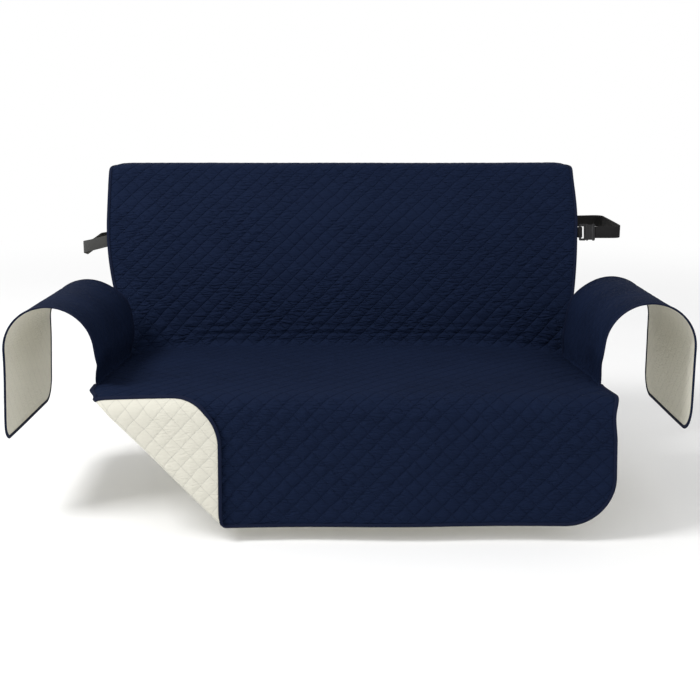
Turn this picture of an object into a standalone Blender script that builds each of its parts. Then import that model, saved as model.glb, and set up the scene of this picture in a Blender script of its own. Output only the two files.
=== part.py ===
"""Quilted reversible slipcover for a loveseat, as it lies over the sofa.

Units are metres, +X to the right as seen from the front, +Y to the back, +Z up. The origin is
under the middle of the cover's top, where the sofa's back holds it up.

Every cloth piece is cut flat, quilted, and then draped:
- the main panel has flat coordinates u, across, and v, the distance along the cloth from the
  middle of the sofa's top, down the backrest and over the seat to the front hem
- an arm panel has flat coordinates a, the distance from its seam at the seat's side, and v
"""

import math

import bmesh
import bpy
from mathutils import Vector

# Quilting: stitch lines cross at every second point of a grid with these pitches
PITCH = 0.0328
ROW = 0.0322
STITCHED_THICKNESS = 0.0020
PUFFED_THICKNESS = 0.0055
MERGE_DISTANCE = 0.006
SLIVER_DISTANCE = 0.0006

# Edges and joints between pieces
GAP = 0.0003
BINDING_WIDTH = 0.010
BINDING_THICKNESS = 0.0050

# Main panel: the grid's size, half widths, and corners
ROWS = 58
COLUMNS_LEFT = 21
COLUMNS_RIGHT = 20
SEAT_HALF = 18 * PITCH
BACK_HALF_LEFT = 0.674
BACK_HALF_RIGHT = 0.632
BACK_FLARE = 0.38
TOP_TAPER = 0.012
TOP_TAPER_LENGTH = 0.17
DROP_BULGE = 0.026
DROP_CORNER = 0.108
FLAP_CORNER = 0.085
CORNER_CHORDS = 6

# Section of the main panel from the top's middle. A stretch has a name, a length, a right-hand
# turn in degrees, and the number of steps that it is cut into.
SECTION_FRONT = (
    ("top", 2 * ROW, 0.0, 1),
    ("top front edge", 1 * ROW, 62.0, 2),
    ("backrest", 15 * ROW, 13.0, 1),
    ("crease", 1 * ROW, -78.5, 3),
    ("seat", 15 * ROW, 6.0, 1),
    ("seat front edge", 2 * ROW, 79.5, 4),
    ("drop", 8 * ROW, 0.0, 1),
)
SECTION_BACK = (
    ("top", 2 * ROW, 0.0, 1),
    ("top back edge", 1 * ROW, 89.0, 3),
    ("back flap", 11 * ROW, 0.0, 1),
)

# Drape of the main panel
SEAT_SIDE_SAG = 0.024
SEAT_FRONT_SAG = 0.006
BACK_CROWN = 0.012
HEM_WAVE = 0.0035
HEM_WAVE_LENGTH = 0.46

# Corner of the drop that is turned back over its face
ROLL_RADIUS = 0.0048
ROLL_STEPS = 6
ROLL_LENGTH = ROLL_RADIUS * math.pi
FOLD_REACH = 0.2037
FOLD_GAP = 0.0012

# Seams between seat and arm panels, in grid rows from the hem
SEAM_FRONT_ROW = 10
SEAM_REAR_ROW = 25
SEAM_END_GAP = 0.0016
SEAM_REAR_GAP = 0.0045

# Arm panels
ARM_CELLS_AROUND = 19
ARM_CELLS_DEEP = 14
ARM_LEAN = 82.0
ARM_RADIUS = 0.108
ARM_SECTION = (
    ("inner side", 0.1010, 0.0, 1),
    ("arch", ARM_RADIUS * math.radians(90.0 + ARM_LEAN), 90.0 + ARM_LEAN, 1),
    ("outer flap", 0.2300, 0.0, 1),
)
ARM_SWEEP = 0.040
ARM_SWEEP_HEIGHT = 0.060
ARM_SEAM_BLEND = 0.100
ARM_CORNER_REAR = 0.055
ARM_FRONT_RISE = 0.014
ARMS = (
    # name, side, length of the cloth around the arm, front corner radius, flare, rise
    ("left", -1, 0.6400, 0.030, 0.008, 0.000),
    ("right", 1, 0.6300, 0.065, 0.002, 0.008),
)

# Elastic strap from the back panel's left edge round the back of the sofa, in plan
STRAP_WIDTH = 0.034
STRAP_THICKNESS = 0.0016
STRAP_TUCK = 0.026
STRAP_V_LEFT = 0.297
STRAP_V_RIGHT = 0.274
STRAP_DIP = 0.042
STRAP_DIP_LENGTH = 0.160
STRAP_BEND = 0.030
STRAP_HALF_SPAN = 0.763
STRAP_SHIFT = 0.006
STRAP_SIDE = 0.222
STRAP_Y = -0.180
STRAP_DEPTH = 0.0040
BUCKLE_DEPTH = 0.0048

# Buckle at the strap's right-hand end, from the panel's edge outward
TAB_WIDTH = 0.030
TAB_THICKNESS = 0.0016
TAB_TUCK = 0.040
TAB_SPREAD = 45.0
BUCKLE_HEIGHT = 0.048
RING_SPACE = 0.0048
RING_LENGTH = 0.0195
RING_BAR = 0.0060
RING_THICKNESS = 0.0040
BODY_LENGTH = 0.025
BODY_THICKNESS = 0.0080
BODY_RIDGE = 0.0055
BODY_STEP = 0.0010
BUCKLE_ROUNDING = 0.0009

NAVY = (0.0137, 0.0185, 0.0540, 1.0)
BINDING_NAVY = (0.0110, 0.0150, 0.0420, 1.0)
STRAP_GREY = (0.0450, 0.0440, 0.0430, 1.0)
BUCKLE_BLACK = (0.0110, 0.0105, 0.0110, 1.0)


def smoothstep(low, high, value):
    """0 below low, 1 above high, and a soft slope between."""
    share = min(max((value - low) / (high - low), 0.0), 1.0)
    return share * share * (3.0 - 2.0 * share)


class Path:
    """A flat path of straight and round stretches, each with a length and a right-hand turn."""

    def __init__(self, start, heading, stretches):
        self.pieces = []
        self.ends = {}
        self.length = 0.0
        point, heading = Vector(start), math.radians(heading)
        for name, length, turn, _ in stretches:
            piece = (self.length, point, heading, math.radians(turn) / length)
            self.pieces.append(piece)
            point, heading = self.run(piece, length)
            self.length += length
            self.ends[name] = self.length

    @staticmethod
    def run(piece, distance):
        """The point and the heading some way along one stretch."""
        _, point, heading, rate = piece
        if rate == 0.0:
            return point + distance * Vector((math.cos(heading), math.sin(heading))), heading
        end = heading - rate * distance
        step = Vector((math.sin(heading) - math.sin(end), math.cos(end) - math.cos(heading)))
        return point + step / rate, end

    def at(self, distance):
        """The point and the heading at a distance from the start."""
        reached = [piece for piece in self.pieces if piece[0] <= distance]
        piece = reached[-1] if reached else self.pieces[0]
        return self.run(piece, distance - piece[0])


FRONT_PATH = Path((0.0, PUFFED_THICKNESS / 2.0), 0.0, SECTION_FRONT)
BACK_PATH = Path((0.0, PUFFED_THICKNESS / 2.0), 0.0, SECTION_BACK)
ARM_PATH = Path((0.0, 0.0), ARM_LEAN, ARM_SECTION)

V_HEM = FRONT_PATH.length
V_FLAP = V_HEM - ROWS * ROW
V_CREASE = FRONT_PATH.ends["backrest"]
V_DROP = FRONT_PATH.ends["seat front edge"]
V_BACK_TOP = FRONT_PATH.ends["top front edge"]
V_SEAM_FRONT = V_HEM - SEAM_FRONT_ROW * ROW
V_SEAM_REAR = V_HEM - SEAM_REAR_ROW * ROW


# --- flat shapes -------------------------------------------------------------------------


def main_half_width(side, v):
    """Half width of the main panel on one side at v, before its corners are rounded."""
    up_back = min(max((V_SEAM_REAR - v) / BACK_FLARE, 0.0), 1.0)
    back_half = BACK_HALF_LEFT if side < 0 else BACK_HALF_RIGHT
    half = SEAT_HALF + (back_half - SEAT_HALF) * up_back * (2.0 - up_back)
    if side > 0:
        half -= TOP_TAPER * (1.0 - smoothstep(V_BACK_TOP, V_BACK_TOP + TOP_TAPER_LENGTH, v))
        half += DROP_BULGE * smoothstep(V_SEAM_FRONT, V_DROP + ROW, v)
    return half


def step_ends(stretches):
    """Distances along a path at which its steps end."""
    start, ends = 0.0, []
    for _, length, _, steps in stretches:
        ends += [start + length * step / steps for step in range(1, steps + 1)]
        start += length
    return ends


def flat_sheet(columns, rows, width, height, centre):
    """A grid of square cells in the XY plane."""
    sheet = bmesh.new()
    bmesh.ops.create_grid(sheet, x_segments=columns, y_segments=rows, size=0.5)
    for vert in sheet.verts:
        vert.co = Vector((vert.co.x * width + centre[0], vert.co.y * height + centre[1], 0.0))
    return sheet


def cut(sheet, faces, point, normal):
    """Cut some faces of a flat sheet along a line."""
    parts = {item for face in faces for item in (face, *face.edges, *face.verts)}
    bmesh.ops.bisect_plane(sheet, geom=list(parts), dist=1e-5, plane_co=point, plane_no=normal)


def trim_beyond(sheet, is_near, point, outside):
    """Cut off what lies outside a line, among the faces of a flat sheet that are near."""
    cut(sheet, [face for face in sheet.faces if is_near(face)], point, outside)
    near = [face for face in sheet.faces if is_near(face)]
    beyond = [face for face in near if (face.calc_center_median() - point).dot(outside) > 0.0]
    bmesh.ops.delete(sheet, geom=beyond, context="FACES")


def trim_side(sheet, edge, side, levels, snap):
    """Cut a sheet's side along x = side * edge(y), strip by strip between the given levels."""
    for level in levels:
        row = [vert for vert in sheet.verts if abs(vert.co.y - level) < 1e-6]
        nearest = min(row, key=lambda vert: abs(vert.co.x - side * edge(level)))
        if abs(nearest.co.x - side * edge(level)) < snap:
            nearest.co.x = side * edge(level)
    for low, high in zip(levels[:-1], levels[1:]):
        start = Vector((side * edge(low), low, 0.0))
        end = Vector((side * edge(high), high, 0.0))
        outside = Vector((end.y - start.y, start.x - end.x, 0.0)) * side

        def in_strip(face, low=low, high=high):
            return low < face.calc_center_median().y < high

        trim_beyond(sheet, in_strip, start, outside)
    bmesh.ops.remove_doubles(sheet, verts=sheet.verts, dist=MERGE_DISTANCE)


def round_corner(sheet, corner, inward, radius):
    """Cut a flat sheet's corner to an arc made of chords. The inward signs point to its cloth."""
    centre = Vector((corner[0] + inward[0] * radius, corner[1] + inward[1] * radius, 0.0))

    def spoke(turn):
        return Vector((-inward[0] * math.cos(turn), -inward[1] * math.sin(turn), 0.0))

    def in_corner(face):
        away = face.calc_center_median() - centre
        return away.x * inward[0] < 0.0 and away.y * inward[1] < 0.0

    step = math.pi / 2.0 / CORNER_CHORDS
    for chord in range(CORNER_CHORDS):
        start, outside = centre + radius * spoke(chord * step), spoke((chord + 0.5) * step)
        trim_beyond(sheet, in_corner, start, outside)
    bmesh.ops.remove_doubles(sheet, verts=sheet.verts, dist=MERGE_DISTANCE)


def outward(edge):
    """Flat direction across a boundary edge, away from its face."""
    along = (edge.verts[1].co - edge.verts[0].co).normalized()
    across = Vector((along.y, -along.x, 0.0))
    middle = (edge.verts[0].co + edge.verts[1].co) / 2.0
    inside = edge.link_faces[0].calc_center_median() - middle
    return -across if across.dot(inside) > 0.0 else across


def binding_tape(sheet, is_sewn, gap_at):
    """A flat tape just outside the free edges of a flat sheet."""
    tape = sheet.copy()
    free = [edge for edge in tape.edges if edge.is_boundary and not is_sewn(edge)]
    miter = {}
    for edge in free:
        for vert in edge.verts:
            miter.setdefault(vert, []).append(outward(edge))
    cloth = list(tape.faces)
    inner = {}
    for vert, normals in miter.items():
        total = sum(normals, Vector())
        inner[vert] = total / total.dot(normals[0])
    places = {tuple(vert.co): step for vert, step in inner.items()}
    extruded = bmesh.ops.extrude_edge_only(tape, edges=free)
    outer = {item for item in extruded["geom"] if isinstance(item, bmesh.types.BMVert)}
    bmesh.ops.delete(tape, geom=cloth, context="FACES")
    for vert in tape.verts:
        reach = BINDING_WIDTH if vert in outer else gap_at(vert.co)
        vert.co += places[tuple(vert.co)] * reach
    return tape


# --- drape -------------------------------------------------------------------------------


def section_at(v):
    """Point and outward normal of the main panel's section at v."""
    path, ahead = (FRONT_PATH, -1.0) if v >= 0.0 else (BACK_PATH, 1.0)
    point, heading = path.at(abs(v))
    normal = Vector((0.0, -ahead * math.sin(heading), math.cos(heading)))
    return Vector((0.0, ahead * point.x, point.y)), normal


def drape_main(u, v, height=0.0):
    """Place of a flat point of the main panel, some height above its middle surface."""
    point, normal = section_at(v)
    on_seat = smoothstep(V_CREASE - 0.10, V_CREASE, v) * (1.0 - smoothstep(V_DROP, V_HEM, v))
    on_back = smoothstep(V_BACK_TOP, V_BACK_TOP + 0.18, v)
    on_back *= 1.0 - smoothstep(V_CREASE - 0.20, V_CREASE, v)
    across = min(abs(u) / SEAT_HALF, 1.1)
    hang = smoothstep(V_DROP, V_HEM, v) + smoothstep(0.15, 0.45, -v)
    lift = BACK_CROWN * on_back * (1.0 - across * across)
    lift += HEM_WAVE * hang * math.sin(math.tau * u / HEM_WAVE_LENGTH)
    place = point + normal * (height + lift)
    place.x = u
    sag = SEAT_SIDE_SAG + (SEAT_FRONT_SAG - SEAT_SIDE_SAG) * smoothstep(V_SEAM_REAR, V_SEAM_FRONT, v)
    place.z -= sag * on_seat * across**5
    return place


def turned_back(u, v, height):
    """Flat place and height of a point once the drop's left corner is turned back."""
    beyond = FOLD_REACH - (u + SEAT_HALF + V_HEM - v) / math.sqrt(2.0)
    roll = beyond + ROLL_LENGTH / 2.0
    if roll <= 0.0:
        return u, v, height
    angle = min(roll / ROLL_RADIUS, math.pi)
    rest = max(roll - ROLL_LENGTH, 0.0)
    arm = ROLL_RADIUS - height
    back = (roll - arm * math.sin(angle) + rest) / math.sqrt(2.0)
    return u + back, v - back, ROLL_RADIUS - arm * math.cos(angle)


def drape_turned(point):
    """Place of a point of the flat main panel, with its height above the middle in z."""
    return drape_main(*turned_back(point.x, -point.y, point.z))


def arm_draper(side, length, flare, rise_all):
    """Function that places a point of one flat arm panel, with a and v in its x and -y."""
    seam_offset = SEAT_HALF + GAP + BINDING_THICKNESS / 2.0
    seam_middle = drape_main(seam_offset, (V_SEAM_FRONT + V_SEAM_REAR) / 2.0)

    def drape(point):
        a, v, height = point.x, -point.y, point.z
        seam = drape_main(side * seam_offset, v)
        around, heading = ARM_PATH.at(a)
        front = (v - V_SEAM_REAR) / (V_SEAM_FRONT - V_SEAM_REAR)
        sweep = ARM_SWEEP * smoothstep(0.0, ARM_SWEEP_HEIGHT, a) * max(front, 0.0) ** 2
        near_seam = 1.0 - smoothstep(0.0, ARM_SEAM_BLEND, a)
        lifted = smoothstep(0.0, ARM_PATH.ends["inner side"], a)
        rise = seam_middle.z + (seam.z - seam_middle.z) * near_seam
        rise += (rise_all + ARM_FRONT_RISE * front) * lifted
        out = around.x - height * math.sin(heading)
        out += flare * smoothstep(ARM_PATH.ends["arch"], length, a)
        up = around.y + height * math.cos(heading)
        return Vector((seam.x + side * out, seam.y + sweep, rise + up))

    return drape


# --- objects -----------------------------------------------------------------------------


def thicken(sheet, half_thickness):
    """Close a flat sheet with a second layer, each as far from its middle as the function says."""
    bmesh.ops.recalc_face_normals(sheet, faces=sheet.faces)
    sheet.normal_update()
    bmesh.ops.solidify(sheet, geom=list(sheet.faces), thickness=BINDING_THICKNESS)
    middle = sum(vert.co.z for vert in sheet.verts) / len(sheet.verts)
    for vert in sheet.verts:
        half = half_thickness(vert.co)
        vert.co.z = half if vert.co.z > middle else -half


def add_solid(name, sheet, half_thickness, drape, material, collection, rounding=0.0):
    """Give a flat sheet its thickness, round its edges, drape it, and add it as an object."""
    thicken(sheet, half_thickness)
    if rounding:
        sharp = [edge for edge in sheet.edges if edge.calc_face_angle() > math.radians(40.0)]
        bmesh.ops.bevel(sheet, geom=sharp, offset=rounding, segments=2, profile=0.5, affect="EDGES")
    for vert in sheet.verts:
        vert.co = drape(vert.co)
    bmesh.ops.triangulate(sheet, faces=sheet.faces, quad_method="SHORT_EDGE")
    bmesh.ops.recalc_face_normals(sheet, faces=sheet.faces)
    if sheet.calc_volume(signed=True) < 0.0:
        bmesh.ops.reverse_faces(sheet, faces=sheet.faces)
    mesh = bpy.data.meshes.new(name)
    sheet.to_mesh(mesh)
    sheet.free()
    mesh.materials.append(material)
    collection.objects.link(bpy.data.objects.new(name, mesh))


def add_quilted(name, sheet, puff, drape, material, collection):
    """Stitch a flat sheet in diamonds, pad it, and drape it."""
    bmesh.ops.connect_verts(sheet, verts=[vert for vert in sheet.verts if puff(vert.co) < 1e-4])
    rim = {vert.co.xy.to_tuple(5) for vert in sheet.verts if vert.is_boundary}

    def half_thickness(point):
        fullness = 0.0 if point.xy.to_tuple(5) in rim else puff(point)
        return (STITCHED_THICKNESS + (PUFFED_THICKNESS - STITCHED_THICKNESS) * fullness) / 2.0

    add_solid(name, sheet, half_thickness, drape, material, collection)


def diamonds(pitch_x, pitch_y, origin):
    """How full the quilting is at a flat point: 0 on a stitch line, 1 in a diamond's middle."""

    def puff(point):
        p = (point.x - origin[0]) / pitch_x
        q = (point.y - origin[1]) / pitch_y
        return abs(math.cos(math.pi * (p + q) / 2.0) * math.cos(math.pi * (p - q) / 2.0))

    return puff


def add_main_panel(materials, collection):
    """The main panel with its corner turned back, and its two runs of binding."""
    columns = COLUMNS_LEFT + COLUMNS_RIGHT
    centre = ((COLUMNS_RIGHT - COLUMNS_LEFT) * PITCH / 2.0, -(V_HEM + V_FLAP) / 2.0)
    sheet = flat_sheet(columns, ROWS, columns * PITCH, ROWS * ROW, centre)
    levels = [-V_HEM + row * ROW for row in range(ROWS + 1)]
    for side in (-1, 1):
        trim_side(sheet, lambda y, s=side: main_half_width(s, -y), side, levels, 0.4 * PITCH)
        drop_corner = (side * main_half_width(side, V_HEM), -V_HEM)
        flap_corner = (side * main_half_width(side, V_FLAP), -V_FLAP)
        round_corner(sheet, drop_corner, (-side, 1), DROP_CORNER)
        round_corner(sheet, flap_corner, (-side, -1), FLAP_CORNER)

    for v in step_ends(SECTION_FRONT) + [-v for v in step_ends(SECTION_BACK)]:
        cut(sheet, sheet.faces, (0.0, -v, 0.0), (0.0, 1.0, 0.0))

    corner = Vector((-SEAT_HALF, -V_HEM, 0.0))
    fold = Vector((1.0, 1.0, 0.0)).normalized()

    def past_fold(point):
        return (point - corner).dot(fold) - FOLD_REACH

    for step in range(ROLL_STEPS + 1):
        shift = ROLL_LENGTH * (step / ROLL_STEPS - 0.5)
        near = [face for face in sheet.faces if abs(past_fold(face.calc_center_median())) < PITCH]
        cut(sheet, near, corner + fold * (FOLD_REACH + shift), fold)
    bmesh.ops.remove_doubles(sheet, verts=sheet.verts, dist=SLIVER_DISTANCE)

    def is_sewn(edge):
        middle = (edge.verts[0].co + edge.verts[1].co) / 2.0
        return abs(middle.x) > SEAT_HALF - 1e-4 and V_SEAM_REAR < -middle.y < V_SEAM_FRONT

    def gap_at(point):
        return FOLD_GAP if abs(past_fold(point)) < 1.2 * ROLL_LENGTH else GAP

    tape = binding_tape(sheet, is_sewn, gap_at)
    back_tape = tape.copy()
    for bm, is_front in ((tape, False), (back_tape, True)):
        middle_v = (V_SEAM_FRONT + V_SEAM_REAR) / 2.0
        other = [face for face in bm.faces if (-face.calc_center_median().y > middle_v) == is_front]
        bmesh.ops.delete(bm, geom=other, context="FACES")

    puff = diamonds(PITCH, ROW, corner)

    def puff_off_fold(point):
        return puff(point) * (1.0 - math.exp(-((past_fold(point) / (3.0 * ROLL_RADIUS)) ** 2)))

    add_quilted("main_panel", sheet, puff_off_fold, drape_turned, materials["navy"], collection)
    for name, bm in (("binding_front", tape), ("binding_back", back_tape)):
        add_solid(name, bm, binding_half, drape_turned, materials["binding"], collection)


def binding_half(_):
    return BINDING_THICKNESS / 2.0


def add_arm_panel(arm, materials, collection):
    """One arm panel, sewn along the seat's side, and its run of binding."""
    name, side, length, front_corner, flare, rise = arm
    v_front = V_SEAM_FRONT - SEAM_END_GAP - BINDING_WIDTH
    v_rear = V_SEAM_REAR + SEAM_REAR_GAP + BINDING_WIDTH
    depth = v_front - v_rear
    centre_v = (v_front + v_rear) / 2.0
    pitch_a, pitch_v = length / ARM_CELLS_AROUND, depth / ARM_CELLS_DEEP

    # The corners are rounded while the seam is at the top, so flat x is -v and flat y is -a
    sheet = flat_sheet(ARM_CELLS_DEEP, ARM_CELLS_AROUND, depth, length, (0.0, -length / 2.0))
    for hand, radius in ((-1, front_corner), (1, ARM_CORNER_REAR)):
        round_corner(sheet, (hand * depth / 2.0, -length), (-hand, 1), radius)
    for vert in sheet.verts:
        vert.co = Vector((-vert.co.y, vert.co.x - centre_v, 0.0))

    def is_sewn(edge):
        return max(vert.co.x for vert in edge.verts) < 1e-5

    tape = binding_tape(sheet, is_sewn, lambda point: GAP)
    puff = diamonds(pitch_a, pitch_v, (0.0, -v_front))
    drape = arm_draper(side, length, flare, rise)
    add_quilted(f"arm_panel_{name}", sheet, puff, drape, materials["navy"], collection)
    add_solid(f"binding_arm_{name}", tape, binding_half, drape, materials["binding"], collection)


# --- strap and buckle --------------------------------------------------------------------


def edge_at(side, v):
    """Distance from the middle of the main panel to the outside of its binding."""
    return main_half_width(side, v) + GAP + BINDING_WIDTH


def band_along(path, stretches, width):
    """A flat band as long as a path, cut at the path's steps, with its length along x."""
    band = flat_sheet(1, 1, path.length, width, (path.length / 2.0, 0.0))
    for end in step_ends(stretches):
        cut(band, band.faces, (end, 0.0, 0.0), (1.0, 0.0, 0.0))
    return band


def add_strap(materials, collection):
    """Elastic strap from behind the panel's left edge, round the back, to the buckle."""
    start = edge_at(-1, STRAP_V_LEFT) - STRAP_TUCK
    end = edge_at(1, STRAP_V_RIGHT) + RING_SPACE + RING_LENGTH + BODY_LENGTH + 2 * GAP
    straight_half = STRAP_HALF_SPAN - STRAP_BEND
    bend = STRAP_BEND * math.pi / 2.0
    stretches = (
        ("front left", straight_half - STRAP_SHIFT - start, 0.0, 4),
        ("front left corner", bend, 90.0, 6),
        ("left side", STRAP_SIDE, 0.0, 4),
        ("rear left corner", bend, 90.0, 6),
        ("rear", 2.0 * straight_half, 0.0, 10),
        ("rear right corner", bend, 90.0, 6),
        ("right side", STRAP_SIDE, 0.0, 4),
        ("front right corner", bend, 90.0, 6),
        ("front right", straight_half + STRAP_SHIFT - end, 0.0, 2),
    )
    path = Path((-start, 0.0), 180.0, stretches)
    ends = path.ends

    def drape(point):
        along, across, height = point
        plan, heading = path.at(along)
        turned = smoothstep(ends["front left"], ends["front left corner"], along)
        turned -= smoothstep(ends["right side"], ends["front right corner"], along)
        round_back = smoothstep(ends["front left corner"], ends["right side"], along)
        v = STRAP_V_LEFT + STRAP_DIP * smoothstep(0.0, STRAP_DIP_LENGTH, along)
        v += (STRAP_V_RIGHT - STRAP_V_LEFT - STRAP_DIP) * round_back
        leaning = drape_main(plan.x, v - across)
        upright = Vector((plan.x, STRAP_Y, drape_main(plan.x, v).z + across))
        place = leaning.lerp(upright, turned)
        place.y += plan.y
        outside = Vector((-math.sin(heading), math.cos(heading), 0.0))
        normal = section_at(v)[1].lerp(outside, turned).normalized()
        depth = STRAP_DEPTH + (BUCKLE_DEPTH - STRAP_DEPTH) * along / path.length
        return place + normal * (height - depth)

    def half_thickness(_):
        return STRAP_THICKNESS / 2.0

    band = band_along(path, stretches, STRAP_WIDTH)
    add_solid("strap", band, half_thickness, drape, materials["strap"], collection)


def add_buckle(materials, collection):
    """Webbing tab from behind the panel's right edge, ring, and buckle body in one row."""
    edge = edge_at(1, STRAP_V_RIGHT)
    half_loop = (RING_THICKNESS + TAB_THICKNESS) / 2.0 + GAP
    half_pair = (TAB_THICKNESS + GAP) / 2.0
    spread = math.radians(TAB_SPREAD)
    spread_radius = (half_loop - half_pair) / (2.0 * (1.0 - math.cos(spread)))
    spread_run = 2.0 * spread_radius * math.sin(spread)
    over_bar = RING_SPACE + RING_BAR - spread_run
    stretches = (
        ("rear layer", TAB_TUCK, 0.0, 2),
        ("rear spread", spread_radius * spread, TAB_SPREAD, 3),
        ("rear return", spread_radius * spread, -TAB_SPREAD, 3),
        ("rear of the bar", over_bar, 0.0, 1),
        ("round the bar", half_loop * math.pi, -180.0, 8),
        ("front of the bar", over_bar, 0.0, 1),
        ("front return", spread_radius * spread, -TAB_SPREAD, 3),
        ("front spread", spread_radius * spread, TAB_SPREAD, 3),
        ("front layer", TAB_TUCK, 0.0, 2),
    )
    path = Path((-TAB_TUCK, -half_pair), 0.0, stretches)

    def drape(point):
        return drape_main(edge + point.x, STRAP_V_RIGHT - point.y, point.z - BUCKLE_DEPTH)

    def drape_tab(point):
        place, heading = path.at(point.x)
        across = Vector((-math.sin(heading), math.cos(heading)))
        place = place + across * point.z
        return drape(Vector((place.x, point.y, place.y)))

    tab = band_along(path, stretches, TAB_WIDTH)
    add_solid("tab", tab, lambda _: TAB_THICKNESS / 2.0, drape_tab, materials["strap"], collection)

    centre = (RING_SPACE + RING_LENGTH / 2.0, 0.0)
    ring = flat_sheet(3, 3, RING_LENGTH, BUCKLE_HEIGHT, centre)
    for vert in ring.verts:
        if abs(vert.co.x - centre[0]) < 0.4 * RING_LENGTH:
            inner = RING_LENGTH / 2.0 - RING_BAR
            vert.co.x = centre[0] + math.copysign(inner, vert.co.x - centre[0])
        if abs(vert.co.y) < 0.4 * BUCKLE_HEIGHT:
            vert.co.y = math.copysign(BUCKLE_HEIGHT / 2.0 - RING_BAR, vert.co.y)
    slot = min(ring.faces, key=lambda face: (face.calc_center_median().xy - Vector(centre)).length)
    bmesh.ops.delete(ring, geom=[slot], context="FACES")
    half = RING_THICKNESS / 2.0
    plastic = materials["plastic"]
    add_solid("ring", ring, lambda _: half, drape, plastic, collection, BUCKLE_ROUNDING)

    start = RING_SPACE + RING_LENGTH + GAP
    body = flat_sheet(3, 1, BODY_LENGTH, BUCKLE_HEIGHT, (start + BODY_LENGTH / 2.0, 0.0))
    columns = sorted({round(vert.co.x, 6) for vert in body.verts})
    places = (start, start + BODY_RIDGE, start + BODY_RIDGE + BODY_STEP, start + BODY_LENGTH)
    for vert in body.verts:
        vert.co.x = places[columns.index(round(vert.co.x, 6))]

    def body_half(point):
        return BODY_THICKNESS / 2.0 - (BODY_STEP if point.x > places[1] + 1e-5 else 0.0)

    add_solid("buckle_body", body, body_half, drape, plastic, collection, BUCKLE_ROUNDING)


def new_material(name, colour, roughness):
    material = bpy.data.materials.new(name)
    material.use_nodes = True
    shader = material.node_tree.nodes["Principled BSDF"]
    shader.inputs["Base Color"].default_value = colour
    shader.inputs["Roughness"].default_value = roughness
    shader.inputs["Metallic"].default_value = 0.0
    return material


def main():
    for obj in list(bpy.data.objects):
        bpy.data.objects.remove(obj)
    collection = bpy.data.collections.new("Slipcover")
    bpy.context.scene.collection.children.link(collection)
    materials = {
        "navy": new_material("Quilted navy", NAVY, 0.85),
        "binding": new_material("Navy binding", BINDING_NAVY, 0.75),
        "strap": new_material("Elastic strap", STRAP_GREY, 0.9),
        "plastic": new_material("Black plastic", BUCKLE_BLACK, 0.4),
    }
    add_main_panel(materials, collection)
    for arm in ARMS:
        add_arm_panel(arm, materials, collection)
    add_strap(materials, collection)
    add_buckle(materials, collection)


main()
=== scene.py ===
"""Looks of a quilted reversible slipcover for a loveseat: cloth, binding, strap, buckle, studio.

Every cloth piece is laid out flat, quilted, and then draped over the same section as the solids:
- on the main panel, flat x runs across, and flat -y is the distance v along the cloth from the
  middle of the sofa's top, down the backrest and over the seat to the front hem
- on an arm panel, flat x is the distance from its seam at the seat's side, and flat -y is v
The UV map of each piece holds its flat position in metres.
"""

import math

import bmesh
import bpy
from bpy.props import FloatProperty, FloatVectorProperty, PointerProperty
from bpy.types import Operator, Panel, PropertyGroup
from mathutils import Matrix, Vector, kdtree, noise


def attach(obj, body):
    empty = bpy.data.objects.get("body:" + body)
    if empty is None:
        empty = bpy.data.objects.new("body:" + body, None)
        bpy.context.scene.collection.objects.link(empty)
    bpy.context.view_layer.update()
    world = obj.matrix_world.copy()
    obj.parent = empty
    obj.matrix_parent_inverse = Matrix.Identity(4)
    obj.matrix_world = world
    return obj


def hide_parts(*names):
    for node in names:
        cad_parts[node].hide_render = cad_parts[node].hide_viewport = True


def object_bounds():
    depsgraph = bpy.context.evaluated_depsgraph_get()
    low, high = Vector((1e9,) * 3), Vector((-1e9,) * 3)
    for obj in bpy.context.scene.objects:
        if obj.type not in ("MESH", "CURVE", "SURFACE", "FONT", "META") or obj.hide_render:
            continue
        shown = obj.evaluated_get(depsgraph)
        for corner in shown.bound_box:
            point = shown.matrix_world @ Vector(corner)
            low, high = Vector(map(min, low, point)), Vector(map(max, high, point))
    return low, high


bl_info = {
    "name": "Quilted loveseat slipcover",
    "version": (1, 0, 0),
    "blender": (4, 5, 0),
    "location": "3D View > Sidebar > Slipcover",
    "description": "Quilted cloth, binding, strap, buckle and a studio for a loveseat cover",
    "category": "Object",
}

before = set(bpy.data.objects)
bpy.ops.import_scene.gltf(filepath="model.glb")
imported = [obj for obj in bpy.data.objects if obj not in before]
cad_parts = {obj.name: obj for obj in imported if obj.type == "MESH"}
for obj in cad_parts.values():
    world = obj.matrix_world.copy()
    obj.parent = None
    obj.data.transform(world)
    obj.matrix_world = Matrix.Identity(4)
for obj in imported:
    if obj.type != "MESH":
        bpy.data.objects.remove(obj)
CAD_BOUNDS = [list(corner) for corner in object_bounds()]

# The solids' grid, the cells that each of its cells is cut into here, and how much finer the
# real diamonds are than the solids' ones
PITCH = 0.0328
ROW = 0.0322
FINE = 6
ROWS = 58
COLUMNS_LEFT = 21
COLUMNS_RIGHT = 20
DIAMOND_SHARE = 2 / 3

# Main panel
SEAT_HALF = 18 * PITCH
BACK_HALF_LEFT = 0.674
BACK_HALF_RIGHT = 0.632
BACK_FLARE = 0.38
TOP_TAPER = 0.012
TOP_TAPER_LENGTH = 0.17
DROP_BULGE = 0.026
DROP_CORNER = 0.108
FLAP_CORNER = 0.085
CORNER_CHORDS = 12
GAP = 0.0003
BINDING_WIDTH = 0.010
CLOTH_REACH = 0.0035
MERGE = 0.0006

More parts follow.
